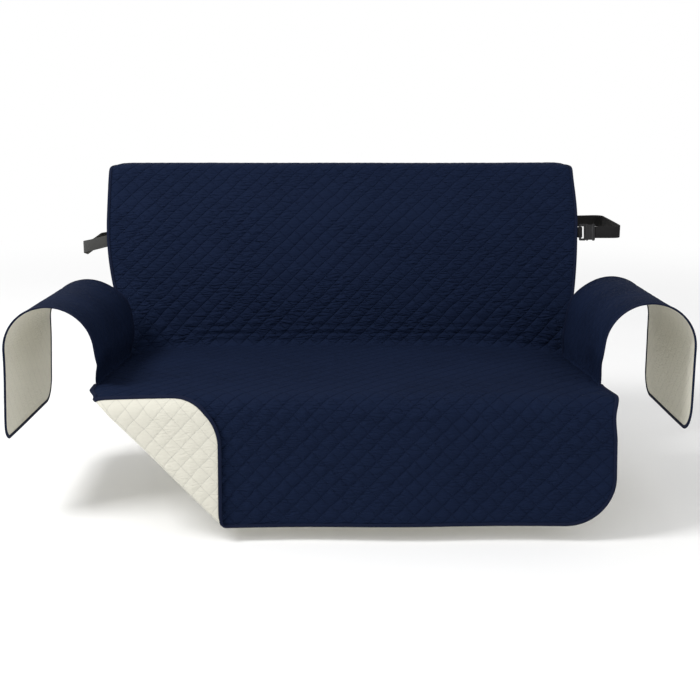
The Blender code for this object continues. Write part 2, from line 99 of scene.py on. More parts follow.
# Stretches of a section: name, length, right-hand turn in degrees
SECTION_FRONT = (
    ("top", 2 * ROW, 0.0),
    ("top front edge", 1 * ROW, 62.0),
    ("backrest", 15 * ROW, 13.0),
    ("crease", 1 * ROW, -78.5),
    ("seat", 15 * ROW, 6.0),
    ("seat front edge", 2 * ROW, 79.5),
    ("drop", 8 * ROW, 0.0),
)
SECTION_BACK = (
    ("top", 2 * ROW, 0.0),
    ("top back edge", 1 * ROW, 89.0),
    ("back flap", 11 * ROW, 0.0),
)
SECTION_HEIGHT = 0.00275
SEAT_SIDE_SAG = 0.024
SEAT_FRONT_SAG = 0.006
BACK_CROWN = 0.012
HEM_WAVE = 0.0035
HEM_WAVE_LENGTH = 0.46
HEM_SLOPE = 0.0035
DROP_SHOULDER = 0.004
BACK_EASE_RIGHT = 0.0057
SHOULDER_WIDTH = 0.045
SHOULDER_DROP = 0.009
TOP_FALL = 0.011
ROLL_RADIUS = 0.0048
ROLL_STEPS = 8
ROLL_LENGTH = ROLL_RADIUS * math.pi
FOLD_REACH = 0.2037
CORNER_LIFT = 0.0026
CORNER_EASE = 0.005
CORNER_EASE_ROLL = 0.028

# Arm panels
SEAM_FRONT_ROW = 10
SEAM_REAR_ROW = 25
SEAM_END_GAP = 0.0016
SEAM_REAR_GAP = 0.0045
SEAM_OFFSET = 0.0028
SEAM_ALLOWANCE = 0.006
TAPE_TUCK = 0.009
SEAM_PULL = 0.080
SEAM_PULL_HEIGHT = 0.075
SEAM_REAR_PULL = 0.012
FLARE_REAR_LEFT = 0.013
FLARE_FRONT_LEFT = 0.006
FLARE_FRONT_RIGHT = 0.015
ARM_CELLS_AROUND = 19
ARM_CELLS_DEEP = 14
ARM_LEAN = 82.0
ARM_RADIUS = 0.108
ARM_SECTION = (
    ("inner side", 0.1010, 0.0),
    ("arch", ARM_RADIUS * math.radians(90.0 + ARM_LEAN), 90.0 + ARM_LEAN),
    ("outer flap", 0.2300, 0.0),
)
ARM_SWEEP = 0.040
ARM_SWEEP_HEIGHT = 0.060
ARM_SEAM_BLEND = 0.100
ARM_REAR_CLOSE = 0.009
ARM_CORNER_REAR = 0.055
ARM_FRONT_RISE = 0.014
ARMS = (
    # name, side, length of the cloth around the arm, front corner radius, flare, rise
    ("left", -1, 0.6400, 0.030, 0.008, 0.000),
    ("right", 1, 0.6300, 0.065, 0.002, 0.008),
)

# Unevenness of the cloth: heights, lengths of waves, and spots per metre across and along
REVERSE_LOFT = 0.40
LOFT_SPOTS = 17.0
WRINKLE_SPOTS = (26.0, 78.0)
DRIFT_SPOTS = (21.0, 21.0)
LIE = 0.0016
LIE_SPOTS = (2.3, 3.1)
GATHER = 0.0018
GATHER_LENGTH = 0.017
GATHER_REACH = 0.018
GATHER_SPOTS = (14.0, 1.0)
RIPPLE = 0.0021
RIPPLE_LENGTH = 0.020
RIPPLE_REACH = 0.066
RIPPLE_SPOTS = (12.0, 20.0)
ARM_WAVE = 0.0012
ARM_WAVE_SPOTS = (5.0, 4.0)
TAPE_WAVE = 0.10
TAPE_SPOTS = (60.0, 90.0)

# Binding tape and woven bands
SIDE_STEP = 0.006
OUTLINE_STEP = 0.005
STITCH_LENGTH = 0.0032
TAPE_STITCHES = (0.0025,)
TAPE_RIB = 0.0011
ELASTIC_RIB = 0.0019
SELVEDGE = 0.0012

# Strap and buckle
STRAP_TUCK = 0.026
STRAP_V_LEFT = 0.297
STRAP_V_RIGHT = 0.278
STRAP_DIP = 0.042
STRAP_DIP_LENGTH = 0.160
STRAP_BEND = 0.030
STRAP_HALF_SPAN = 0.763
STRAP_SHIFT = 0.006
STRAP_SIDE = 0.222
STRAP_Y = -0.180
STRAP_DEPTH = 0.0040
BUCKLE_DEPTH = 0.0048
TAB_TUCK = 0.040
TAB_SPREAD = 45.0
RING_SPACE = 0.0048
RING_LENGTH = 0.0195
RING_BAR = 0.0060
BODY_LENGTH = 0.025
BODY_WAIST = 0.0022
BODY_RIBS = (
    # distance from the ring, share of the body's half thickness
    (0.0, 0.80),
    (0.0050, 1.00),
    (0.0062, 0.60),
    (0.0175, 0.60),
    (0.0185, 0.88),
    (0.0225, 0.88),
    (BODY_LENGTH, 0.70),
)
BUCKLE_CORNER = 0.0035

# Studio
CAMERA_PLACE = (0.0018, -3.3415, 0.2629)
SENSOR = 36.0
LIT_POINT = Vector((0.0, -0.4, -0.35))
FLOOR_HALF = 30.0
HAZE = (2.0, 4.5)


def size_property(name, description, default):
    """A size that a user can change."""
    return FloatProperty(name=name, description=description, default=default, unit="LENGTH")


def colour_property(name, description, default):
    """A colour that a user can change."""
    return FloatVectorProperty(
        name=name, description=description, default=default, subtype="COLOR"
    )


class SLIPCOVER_PG_cloth(PropertyGroup):
    """Quilted cloth."""

    diamond_across: size_property(
        "Half diamond across", "Half a diamond's width", PITCH * DIAMOND_SHARE
    )
    diamond_along: size_property(
        "Half diamond along", "Half a diamond's height", ROW * DIAMOND_SHARE
    )
    stitched_half: size_property("Stitched half", "Half the thickness at the stitches", 0.0009)
    loft: size_property("Loft", "Height of a diamond above its stitches", 0.0025)
    pucker: size_property("Pucker", "Height of the small puckers", 0.0016)
    wander: size_property("Wander", "How far the stitch lines stray", 0.0030)
    navy: colour_property("Face", "Colour of the face", (0.0061, 0.0114, 0.0316))
    cream: colour_property("Reverse", "Colour of the reverse", (0.664, 0.646, 0.563))
    cream_thread: colour_property(
        "Reverse thread", "Colour of the reverse's stitches", (0.46, 0.46, 0.42)
    )


class SLIPCOVER_PG_binding(PropertyGroup):
    """Binding tape round the free edges."""

    width: size_property("Width", "Width outside the cloth's flat edge", BINDING_WIDTH)
    thickness: size_property("Thickness", "Over both layers", 0.0050)
    lap: size_property("Lap", "How far it laps over the cloth", 0.0020)
    colour: colour_property("Colour", "Colour of the tape", (0.0060, 0.0098, 0.0280))


class SLIPCOVER_PG_strap(PropertyGroup):
    """Elastic strap and webbing tab."""

    width: size_property("Width", "Width of the elastic", 0.034)
    thickness: size_property("Thickness", "Of the elastic and the webbing", 0.0016)
    tab_width: size_property("Tab width", "Width of the webbing", 0.030)
    # Painted light: the elastic is coloured lighter near its start at the front left, as if lit
    # more strongly there
    painted_light_colour: colour_property("Painted light colour", "Painted highlight near the elastic's start", (0.062, 0.062, 0.060))
    colour: colour_property("Colour", "Colour of the elastic", (0.0155, 0.0150, 0.0155))


class SLIPCOVER_PG_buckle(PropertyGroup):
    """Moulded buckle."""

    height: size_property("Height", "Height of ring and body", 0.048)
    ring_thickness: size_property("Ring thickness", "Of the ring", 0.0040)
    body_thickness: size_property("Body thickness", "At the ribs", 0.0080)
    rounding: size_property("Rounding", "Radius of the edges", 0.0011)
    colour: colour_property("Colour", "Colour of the plastic", (0.0070, 0.0070, 0.0078))


class SLIPCOVER_PG_stage(PropertyGroup):
    """Studio."""

    key: FloatProperty(name="Key light", description="Power", default=135.0, unit="POWER")
    fill: FloatProperty(name="Fill light", description="Power", default=15.0, unit="POWER")
    sky: FloatProperty(
        name="Surroundings", description="Strength of the white surroundings", default=0.78
    )
    floor_gap: size_property("Floor", "Floor under the hem", 0.035)
    lens: FloatProperty(name="Lens", description="Focal length in mm", default=58.25)
    tilt: FloatProperty(
        name="Tilt",
        description="Camera's tilt down",
        default=math.radians(13.86),
        subtype="ANGLE",
    )


# --- sections and drape --------------------------------------------------------------------


def smoothstep(low, high, value):
    """0 below low, 1 above high, and a soft slope between."""
    share = min(max((value - low) / (high - low), 0.0), 1.0)
    return share * share * (3.0 - 2.0 * share)


def between(rise, fall, value):
    """1 between a rising slope and a falling slope, each given by its two ends, and 0 outside."""
    return smoothstep(*rise, value) * (1.0 - smoothstep(*fall, value))


def spotted(x, y, spots, seed):
    """Smooth noise from -1 to 1 over the cloth, with so many spots per metre each way."""
    return noise.noise(Vector((x * spots[0], y * spots[1], seed)))


class Path:
    """A flat path of straight and round stretches, each with a length and a right-hand turn."""

    def __init__(self, start, heading, stretches):
        self.pieces = []
        self.ends = {}
        self.length = 0.0
        point, heading = Vector(start), math.radians(heading)
        for name, length, turn in stretches:
            piece = (self.length, point, heading, math.radians(turn) / length)
            self.pieces.append(piece)
            point, heading = self.run(piece, length)
            self.length += length
            self.ends[name] = self.length

    @staticmethod
    def run(piece, distance):
        """The point and the heading some way along one stretch."""
        _, point, heading, rate = piece
        if rate == 0.0:
            return point + distance * Vector((math.cos(heading), math.sin(heading))), heading
        end = heading - rate * distance
        step = Vector((math.sin(heading) - math.sin(end), math.cos(end) - math.cos(heading)))
        return point + step / rate, end

    def at(self, distance):
        """The point and the heading at a distance from the start."""
        for piece in reversed(self.pieces):
            if piece[0] <= distance:
                return self.run(piece, distance - piece[0])
        return self.run(self.pieces[0], distance)


FRONT_PATH = Path((0.0, SECTION_HEIGHT), 0.0, SECTION_FRONT)
BACK_PATH = Path((0.0, SECTION_HEIGHT), 0.0, SECTION_BACK)
ARM_PATH = Path((0.0, 0.0), ARM_LEAN, ARM_SECTION)

V_HEM = FRONT_PATH.length
V_FLAP = V_HEM - ROWS * ROW
V_CREASE = FRONT_PATH.ends["backrest"]
V_DROP = FRONT_PATH.ends["seat front edge"]
V_BACK_TOP = FRONT_PATH.ends["top front edge"]
V_SEAM_FRONT = V_HEM - SEAM_FRONT_ROW * ROW
V_SEAM_REAR = V_HEM - SEAM_REAR_ROW * ROW
V_SEAM_END = V_SEAM_FRONT - SEAM_PULL
HEM_CORNER = Vector((-SEAT_HALF, -V_HEM, 0.0))
FOLD = Vector((1.0, 1.0, 0.0)).normalized()


def main_half_width(side, v):
    """Half width of the main panel on one side at v, before its corners are rounded."""
    up_back = min(max((V_SEAM_REAR - v) / BACK_FLARE, 0.0), 1.0)
    back_half = BACK_HALF_LEFT if side < 0 else BACK_HALF_RIGHT
    half = SEAT_HALF + (back_half - SEAT_HALF) * up_back * (2.0 - up_back)
    if side > 0:
        half -= TOP_TAPER * (1.0 - smoothstep(V_BACK_TOP, V_BACK_TOP + TOP_TAPER_LENGTH, v))
        half += DROP_BULGE * smoothstep(V_SEAM_END, V_DROP, v)
    return half


def seat_flare(side, v):
    """How far the seat's edge is drawn outward from its straight line."""
    to_front = smoothstep(V_SEAM_REAR + 0.10, V_SEAM_END, v)
    if side > 0:
        return FLARE_FRONT_RIGHT * to_front * (1.0 - smoothstep(V_SEAM_FRONT - 0.01, V_DROP, v))
    at_corner = smoothstep(V_SEAM_END + 0.03, V_SEAM_FRONT + 0.02, v)
    at_rear = smoothstep(V_SEAM_REAR - 0.10, V_SEAM_REAR, v)
    return (FLARE_REAR_LEFT * at_rear + FLARE_FRONT_LEFT * to_front) * (1.0 - at_corner)


def side_ease(v):
    """How far the right side stands outward at the back's top, and inward at the drop's top."""
    at_top = between((-0.20, -0.03), (0.15, 0.30), v)
    at_drop = between((V_SEAM_END + 0.02, V_DROP - 0.02), (V_DROP, V_DROP + 0.06), v)
    return BACK_EASE_RIGHT * at_top - DROP_SHOULDER * at_drop


def section_at(v):
    """Point and outward normal of the main panel's section at v."""
    path, ahead = (FRONT_PATH, -1.0) if v >= 0.0 else (BACK_PATH, 1.0)
    point, heading = path.at(abs(v))
    normal = Vector((0.0, -ahead * math.sin(heading), math.cos(heading)))
    return Vector((0.0, ahead * point.x, point.y)), normal


def gathers(v, distance):
    """Small ripples along an arm's seam, which fade with the distance from it."""
    sewn = between((V_SEAM_REAR, V_SEAM_REAR + 0.03), (V_SEAM_END - 0.04, V_SEAM_END), v)
    uneven = spotted(v, 3.0, GATHER_SPOTS, 1.0)
    wave = math.sin(math.tau * v / GATHER_LENGTH + 3.0 * uneven)
    return GATHER * sewn * wave * math.exp(-max(distance, 0.0) / GATHER_REACH)


def soft_lie(u, v):
    """How far the cloth lies off an even section: waves, gathers, and ripples above the crease."""
    free = 1.0 - between((V_CREASE - 0.02, V_CREASE + 0.01), (V_DROP - 0.03, V_DROP), v)
    lie = LIE * spotted(u, v, LIE_SPOTS, 4.0) * (0.35 + 0.65 * free)
    lie += gathers(v, SEAT_HALF - abs(u))
    above = V_CREASE - v
    if 0.0 < above < RIPPLE_REACH:
        uneven = 1.0 + 1.2 * spotted(u, above, RIPPLE_SPOTS, 7.0)
        ripple = math.sin(math.tau * above / RIPPLE_LENGTH)
        lie += RIPPLE * uneven * ripple * between((0.0, 0.006), (0.016, RIPPLE_REACH), above)
    return lie


def drape_main(u, v, height=0.0):
    """Place of a flat point of the main panel, some height above its middle surface."""
    point, normal = section_at(v)
    at_hem = smoothstep(V_DROP, V_HEM, v)
    on_seat = between((V_CREASE - 0.10, V_CREASE), (V_DROP, V_HEM), v)
    on_back = between((V_BACK_TOP, V_BACK_TOP + 0.18), (V_CREASE - 0.20, V_CREASE), v)
    across = min(abs(u) / SEAT_HALF, 1.1)
    hang = at_hem + smoothstep(0.15, 0.45, -v)
    lift = BACK_CROWN * on_back * (1.0 - across * across)
    lift += HEM_WAVE * hang * math.sin(math.tau * u / HEM_WAVE_LENGTH)
    place = point + normal * (height + lift + soft_lie(u, v))
    side = 1 if u > 0.0 else -1
    place.x = u + side * seat_flare(side, v) * across**8
    if side > 0:
        place.x += side_ease(v) * min(across, 1.0) ** 6
    sag = SEAT_SIDE_SAG
    sag += (SEAT_FRONT_SAG - SEAT_SIDE_SAG) * smoothstep(V_SEAM_REAR, V_SEAM_FRONT, v)
    place.z -= sag * on_seat * across**5
    place.z += HEM_SLOPE * u / SEAT_HALF * at_hem
    inside = max(main_half_width(side, v) + BINDING_WIDTH - abs(u), 0.0)
    near_side = max(0.0, 1.0 - inside / SHOULDER_WIDTH)
    near_top = between((-5.0 * ROW, -3.0 * ROW), (V_BACK_TOP - ROW, V_BACK_TOP + ROW), v)
    place.z -= SHOULDER_DROP * near_top * near_side**2
    place.z -= TOP_FALL * smoothstep(-2.0 * ROW, 4.0 * ROW, -v)
    return place


def past_fold(point):
    """Distance of a flat point from the fold of the turned-back corner, negative in the corner."""
    return (point.x - HEM_CORNER.x + point.y - HEM_CORNER.y) * FOLD.x - FOLD_REACH


def drape_turned(point):
    """Place of a point of the flat main panel, with its height above the middle in z."""
    u, v, height = point.x, -point.y, point.z
    roll = ROLL_LENGTH / 2.0 - past_fold(point)
    if roll > 0.0:
        angle = min(roll / ROLL_RADIUS, math.pi)
        rest = max(roll - ROLL_LENGTH, 0.0)
        arm = ROLL_RADIUS - height
        back = (roll - arm * math.sin(angle) + rest) * FOLD.x
        u, v, height = u + back, v - back, ROLL_RADIUS - arm * math.cos(angle)
        turned = smoothstep(0.0, CORNER_EASE_ROLL, roll)
        u -= CORNER_EASE * turned
        v -= CORNER_LIFT * turned * (1.0 - smoothstep(V_HEM - 0.24, V_HEM - 0.06, v))
    return drape_main(u, v, height)


def arm_draper(side, length, flare, rise_all):
    """Function that places a point of one flat arm panel."""
    seam_middle = drape_main(SEAT_HALF + SEAM_OFFSET, (V_SEAM_FRONT + V_SEAM_REAR) / 2.0)

    def drape(point):
        a, v, height = point.x, -point.y, point.z
        drawn = 1.0 - smoothstep(0.0, SEAM_PULL_HEIGHT, a)
        front = (v - V_SEAM_REAR) / (V_SEAM_FRONT - V_SEAM_REAR)
        pull = SEAM_PULL * max(front, 0.0) ** 1.5 + SEAM_REAR_PULL * max(1.0 - front, 0.0) ** 6
        v -= drawn * pull
        seam = drape_main(side * (SEAT_HALF + SEAM_OFFSET), v)
        straight = side * (SEAT_HALF + SEAM_OFFSET)
        around, heading = ARM_PATH.at(max(a, 0.0))
        sweep = ARM_SWEEP * smoothstep(0.0, ARM_SWEEP_HEIGHT, a) * max(front, 0.0) ** 2
        near_seam = 1.0 - smoothstep(0.0, ARM_SEAM_BLEND, a)
        lifted = smoothstep(0.0, ARM_PATH.ends["inner side"], a)
        rise = seam_middle.z + (seam.z - seam_middle.z) * near_seam
        rise += (rise_all + ARM_FRONT_RISE * front) * lifted
        wave = ARM_WAVE * spotted(a, v, ARM_WAVE_SPOTS, 20.0 + side) * lifted + gathers(v, a)
        closed = between((0.0, 0.05), (0.13, 0.21), a)
        out = around.x - (height + wave) * math.sin(heading) + min(a, 0.0)
        out -= ARM_REAR_CLOSE * closed * max(1.0 - front, 0.0) ** 3
        out += flare * smoothstep(ARM_PATH.ends["arch"], length, a)
        up = around.y + (height + wave) * math.cos(heading) + 0.45 * min(a, 0.0)
        base = straight + (seam.x - straight) * drawn
        return Vector((base + side * out, seam.y + sweep, rise + up))

    return drape


# --- flat shapes ---------------------------------------------------------------------------


def flat_sheet(columns, rows, width, height, centre):
    """A grid of cells in the XY plane."""
    sheet = bmesh.new()
    bmesh.ops.create_grid(sheet, x_segments=columns, y_segments=rows, size=0.5)
    for vert in sheet.verts:
        vert.co = Vector((vert.co.x * width + centre[0], vert.co.y * height + centre[1], 0.0))
    return sheet


def cut_along(sheet, faces, point, normal):
    """Cut some faces of a flat sheet along a line. Return the faces that they become."""
    parts = dict.fromkeys(item for face in faces for item in (face, *face.edges, *face.verts))
    cut = bmesh.ops.bisect_plane(
        sheet, geom=list(parts), dist=1e-5, plane_co=point, plane_no=normal
    )
    return [item for item in cut["geom"] if isinstance(item, bmesh.types.BMFace)]


def trim_beyond(sheet, faces, point, outside):
    """Cut off what lies outside a line among some faces of a flat sheet. Return what is left."""
    pieces = cut_along(sheet, faces, point, outside)
    beyond = [face for face in pieces if (face.calc_center_median() - point).dot(outside) > 0.0]
    bmesh.ops.delete(sheet, geom=beyond, context="FACES")
    return [face for face in pieces if face.is_valid]


def trim_side(sheet, edge, side, levels):
    """Cut a sheet's side along x = side * edge(y), strip by strip between the given levels."""
    least = min(edge(level) for level in levels) - PITCH
    step = levels[1] - levels[0]
    strips = {}
    for face in sheet.faces:
        middle = face.calc_center_median()
        if side * middle.x > least:
            strips.setdefault(int((middle.y - levels[0]) / step), []).append(face)
    for index, (low, high) in enumerate(zip(levels[:-1], levels[1:])):
        start = Vector((side * edge(low), low, 0.0))
        end = Vector((side * edge(high), high, 0.0))
        outside = Vector((end.y - start.y, start.x - end.x, 0.0)) * side
        trim_beyond(sheet, strips.get(index, []), start, outside)


def round_corner(sheet, corner, inward, radius):
    """Cut a flat sheet's corner to an arc made of chords. The inward signs point to its cloth."""
    centre = Vector((corner[0] + inward[0] * radius, corner[1] + inward[1] * radius, 0.0))

    def spoke(turn):
        return Vector((-inward[0] * math.cos(turn), -inward[1] * math.sin(turn), 0.0))

    def in_corner(face):
        away = face.calc_center_median() - centre
        return away.x * inward[0] < 0.0 and away.y * inward[1] < 0.0

    faces = [face for face in sheet.faces if in_corner(face)]
    step = math.pi / 2.0 / CORNER_CHORDS
    for chord in range(CORNER_CHORDS):
        start, outside = centre + radius * spoke(chord * step), spoke((chord + 0.5) * step)
        faces = trim_beyond(sheet, faces, start, outside)


def rim_of(sheet):
    """A search tree over a flat sheet's rim, which gives a point's distance from it."""
    edges = [edge for edge in sheet.edges if edge.is_boundary]
    shares = [i / 6.0 for i in range(6)]
    tree = kdtree.KDTree(len(edges) * len(shares))
    for number, edge in enumerate(edges):
        start, end = (vert.co for vert in edge.verts)
        for i, share in enumerate(shares):
            tree.insert(start.lerp(end, share), number * len(shares) + i)
    tree.balance()
    return tree


def outline_of(edge_right, edge_left, top, bottom, corner_right, corner_left):
    """Points of a bag's outline, down its right side, along its bottom and up its left side."""
    points = []
    for side, edge, corner in ((1, edge_right, corner_right), (-1, edge_left, corner_left)):
        turn_y = bottom + corner
        count = max(2, round((top - turn_y) / SIDE_STEP))
        straight = [top + (turn_y - top) * i / count for i in range(count + 1)]
        run = [Vector((side * edge(y), y, 0.0)) for y in straight]
        centre = Vector((side * (edge(bottom) - corner), turn_y, 0.0))
        for i in range(1, CORNER_CHORDS * 2 + 1):
            turn = math.pi / 2.0 * i / (CORNER_CHORDS * 2)
            reach = Vector((side * math.cos(turn), -math.sin(turn), 0.0))
            run.append(centre + corner * reach)
        points += run if side > 0 else run[::-1]
    return points


class Outline:
    """An open run of points in the flat, with the outward direction at each distance along it."""

    def __init__(self, points, step):
        lengths = [0.0]
        for before, after in zip(points[:-1], points[1:]):
            lengths.append(lengths[-1] + (after - before).length)
        self.length = lengths[-1]
        count = round(self.length / step)
        self.points, index = [], 0
        for i in range(count + 1):
            distance = self.length * i / count
            while index < len(points) - 2 and lengths[index + 1] < distance:
                index += 1
            stretch = lengths[index + 1] - lengths[index]
            share = (distance - lengths[index]) / stretch if stretch > 1e-9 else 0.0
            self.points.append(points[index].lerp(points[index + 1], share))
        self.outward = []
        for i in range(count + 1):
            ahead, behind = self.points[min(i + 2, count)], self.points[max(i - 2, 0)]
            along = (ahead - behind).normalized()
            self.outward.append(Vector((-along.y, along.x, 0.0)))
        self.count = count

    def at(self, distance):
        """Point and outward direction at a distance."""
        place = min(max(distance / self.length, 0.0), 1.0) * self.count
        index = min(int(place), self.count - 1)
        share = place - index
        outward = self.outward[index].lerp(self.outward[index + 1], share).normalized()
        return self.points[index].lerp(self.points[index + 1], share), outward


# --- shader maths --------------------------------------------------------------------------


class Value:
    """A shader socket with arithmetic. Each operator adds its Math node."""

    def __init__(self, tree, socket):
        self.tree = tree
        self.socket = socket

    def math(self, operation, *others):
        """One Math node on this value and the others."""
        return add_node(self.tree, "ShaderNodeMath", {"operation": operation}, [self, *others])

    def __add__(self, other):
        return self.math("ADD", other)

    __radd__ = __add__

    def __mul__(self, other):
        return self.math("MULTIPLY", other)

    __rmul__ = __mul__

    def __sub__(self, other):
        return self.math("SUBTRACT", other)

    def __rsub__(self, other):
        return (self * -1.0).math("ADD", other)

    def __truediv__(self, other):
        return self.math("DIVIDE", other)

    def within(self, low, high):
        """0 at low, 1 at high, soft between."""
        settings = {"interpolation_type": "SMOOTHSTEP"}
        return add_node(self.tree, "ShaderNodeMapRange", settings, {0: self, 1: low, 2: high})


def add_node(tree, kind, settings=None, inputs=None, output=0):
    """Add a node, apply its settings, feed its sockets, and return one output as a Value."""
    node = tree.nodes.new(kind)
    for name, value in (settings or {}).items():
        setattr(node, name, value)
    pairs = enumerate(inputs) if isinstance(inputs, list) else (inputs or {}).items()
    for key, value in pairs:
        socket = node.inputs[key]
        if isinstance(value, Value):
            tree.links.new(value.socket, socket)
        else:
            socket.default_value = value
    return Value(tree, node.outputs[output])


def new_material(name, colour, roughness):
    """A material with its Principled shader."""
    material = bpy.data.materials.new(name)
    material.use_nodes = True
    shader = material.node_tree.nodes["Principled BSDF"]
    shader.inputs["Base Color"].default_value = (*colour, 1.0)
    shader.inputs["Roughness"].default_value = roughness
    material.diffuse_color = (*colour, 1.0)
    return material, material.node_tree, shader


def blend_colours(tree, share, first, second):
    """A colour between two, by a share from 0 to 1."""
    settings = {"data_type": "RGBA"}
    first = first if isinstance(first, Value) else (*first, 1.0)
    second = second if isinstance(second, Value) else (*second, 1.0)
    return add_node(tree, "ShaderNodeMix", settings, {0: share, 6: first, 7: second}, output=2)


def shade(colour, factor):
    """A colour made lighter or darker, up to white."""
    return tuple(min(channel * factor, 1.0) for channel in colour)


def add_bump(tree, shader, strength, distance, height):
    """Lead a height through a Bump node into a shader."""
    settings = {"Strength": strength, "Distance": distance, "Height": height}
    bump = add_node(tree, "ShaderNodeBump", None, settings)
    tree.links.new(bump.socket, shader.inputs["Normal"])


def flat_place(tree):
    """The UV map as a vector, and its two distances in metres."""
    uv = add_node(tree, "ShaderNodeUVMap", {"uv_map": "UVMap"})
    x = add_node(tree, "ShaderNodeSeparateXYZ", None, [uv], output=0)
    y = add_node(tree, "ShaderNodeSeparateXYZ", None, [uv], output=1)
    return uv, x, y


def stretched_noise(tree, uv, scale, detail=2.0, roughness=0.5):
    """Noise over the flat position, with its own scale each way."""
    place = add_node(tree, "ShaderNodeMapping", None, {0: uv, 3: (*scale, 1.0)})
    return add_node(tree, "ShaderNodeTexNoise", None, {0: place, 2: 1.0, 3: detail, 4: roughness})


def quilting(tree, x, y, pitch_x, pitch_y, origin):
    """Distances to the two families of stitch lines, in half diamonds, and along each of them."""
    p = (x - origin[0]) / pitch_x
    q = (y - origin[1]) / pitch_y
    rising = (p - q) * 0.5 + 0.5
    falling = (p + q) * 0.5 + 0.5
    return rising.math("PINGPONG", 0.5), falling.math("PINGPONG", 0.5), rising, falling


def cloth_material(name, colour, thread, thread_share, mottle, pitches, origin, grain, relief):
    """Brushed microfibre, quilted in diamonds of small stitches, with puckers along its grain."""
    material, tree, shader = new_material(name, colour, 0.82)
    uv, x, y = flat_place(tree)
    to_rising, to_falling, rising, falling = quilting(tree, x, y, *pitches, origin)
    line = 1.0 - to_rising.math("MINIMUM", to_falling + 0.002).within(0.006, 0.020)
    stitches = ((rising + falling) * (math.tau * 10.0)).math("SINE").within(-0.5, 0.1)
    falling_seam = (1.0 - to_falling.within(0.0, 0.070)) * 0.75
    seam = (1.0 - to_rising.within(0.0, 0.080)).math("MAXIMUM", falling_seam)
    crossing = 1.0 - to_rising.math("MAXIMUM", to_falling).within(0.010, 0.034)

    pucker = stretched_noise(tree, uv, grain, 2.0)
    crinkle = 1.0 - ((pucker - 0.5) * 4.0).math("ABSOLUTE")
    area = stretched_noise(tree, uv, (4.0, 7.0), 1.0).within(0.32, 0.56)
    nap = stretched_noise(tree, uv, (420.0, 420.0), 3.0, 0.7)
    weave = stretched_noise(tree, uv, (2600.0, 1700.0), 1.0)
    patch = stretched_noise(tree, uv, (9.0, 14.0), 3.0)
    tint = (patch - 0.5) * 1.2 * mottle + (nap - 0.5) * 1.6 * mottle + 0.5
    dark, light = shade(colour, 1.0 - 0.55 * mottle), shade(colour, 1.0 + 0.75 * mottle)
    cloth = blend_colours(tree, tint.within(0.0, 1.0), dark, light)
    on_thread = (line * (0.55 + stitches * 0.45)).math("MAXIMUM", crossing) * thread_share
    sewn = blend_colours(tree, on_thread, cloth, thread)
    tree.links.new(sewn.socket, shader.inputs["Base Color"])

    rough = 0.78 + (nap - 0.5) * 0.16
    tree.links.new(rough.socket, shader.inputs["Roughness"])
    height = crinkle * (area * 1.5 + 0.70) * relief + nap * 0.16 + weave * 0.05
    height = height - seam * relief + line * stitches * 0.20 - crossing * 0.35
    add_bump(tree, shader, 1.0, 0.0016, height)
    nap_colour = [min(channel * 6.0 + 0.05, 1.0) for channel in colour]
    shader.inputs["Sheen Weight"].default_value = 0.02
    shader.inputs["Sheen Roughness"].default_value = 0.45
    shader.inputs["Sheen Tint"].default_value = (*nap_colour, 1.0)
    shader.inputs["Specular IOR Level"].default_value = 0.04
    return material


def tape_material(name, colour, rib, rib_depth, stitch_rows, roughness, sheen, fade=None):
    """Woven tape with ribs along or across it, stitch rows with painted shade, and a painted
    highlight near its start.
    """
    material, tree, shader = new_material(name, colour, roughness)
    uv, along, across = flat_place(tree)
    ribs = (across * rib[1] + along * rib[0]).math("SINE") * 0.5 + 0.5
    threads = stretched_noise(tree, uv, (900.0, 900.0), 2.0, 0.6)
    patch = stretched_noise(tree, uv, (30.0, 60.0), 2.0)
    share = ribs * 0.7 * rib_depth + threads * (0.7 - 0.7 * rib_depth) + patch * 0.30
    cloth = blend_colours(tree, share.within(0.2, 0.8), shade(colour, 0.72), shade(colour, 1.32))
    # Painted light: a lighter colour is blended in near the start, as if that end were lit more
    # strongly
    if fade:
        near_start = 1.0 - along.within(0.08, 0.50)
        cloth = blend_colours(tree, near_start * (0.75 + threads * 0.4), cloth, fade)
    height = ribs * rib_depth + threads * 0.4
    for place in stitch_rows:
        aside = (across - place).math("ABSOLUTE")
        row = 1.0 - aside.within(0.00025, 0.00055)
        stitch = row * (along * (math.tau / STITCH_LENGTH)).math("SINE").within(-0.5, 0.1)
        trench = 1.0 - aside.within(0.0, 0.0011)
        # Painted shade: the trench beside each stitch row is darkened in colour as well as sunk in
        # the bump
        cloth = blend_colours(tree, trench * 0.45, cloth, shade(colour, 0.45))
        cloth = blend_colours(tree, stitch * 0.7, cloth, shade(colour, 1.5))
        height = height - trench * 1.2 + stitch * 0.9
    tree.links.new(cloth.socket, shader.inputs["Base Color"])
    add_bump(tree, shader, 0.7, 0.0005, height)
    shader.inputs["Sheen Weight"].default_value = sheen
    shader.inputs["Specular IOR Level"].default_value = 0.08
    return material


def plastic_material(name, colour):
    """Moulded plastic with a fine grain, lighter in scattered blotches."""
    material, tree, shader = new_material(name, colour, 0.38)
    place = add_node(tree, "ShaderNodeTexCoord", None, None, output=3)
    grain = add_node(tree, "ShaderNodeTexNoise", None, {0: place, 2: 1400.0, 3: 2.0})
    blotch = add_node(tree, "ShaderNodeTexNoise", None, {0: place, 2: 120.0, 3: 3.0})
    colour_share = (grain * 0.4 + blotch * 0.6).within(0.35, 0.7)
    moulded = blend_colours(tree, colour_share, colour, shade(colour, 1.9))
    tree.links.new(moulded.socket, shader.inputs["Base Color"])
    rough = 0.30 + blotch * 0.22
    tree.links.new(rough.socket, shader.inputs["Roughness"])
    add_bump(tree, shader, 0.35, 0.0003, grain)
    shader.inputs["Specular IOR Level"].default_value = 0.3
    return material


# --- pieces --------------------------------------------------------------------------------


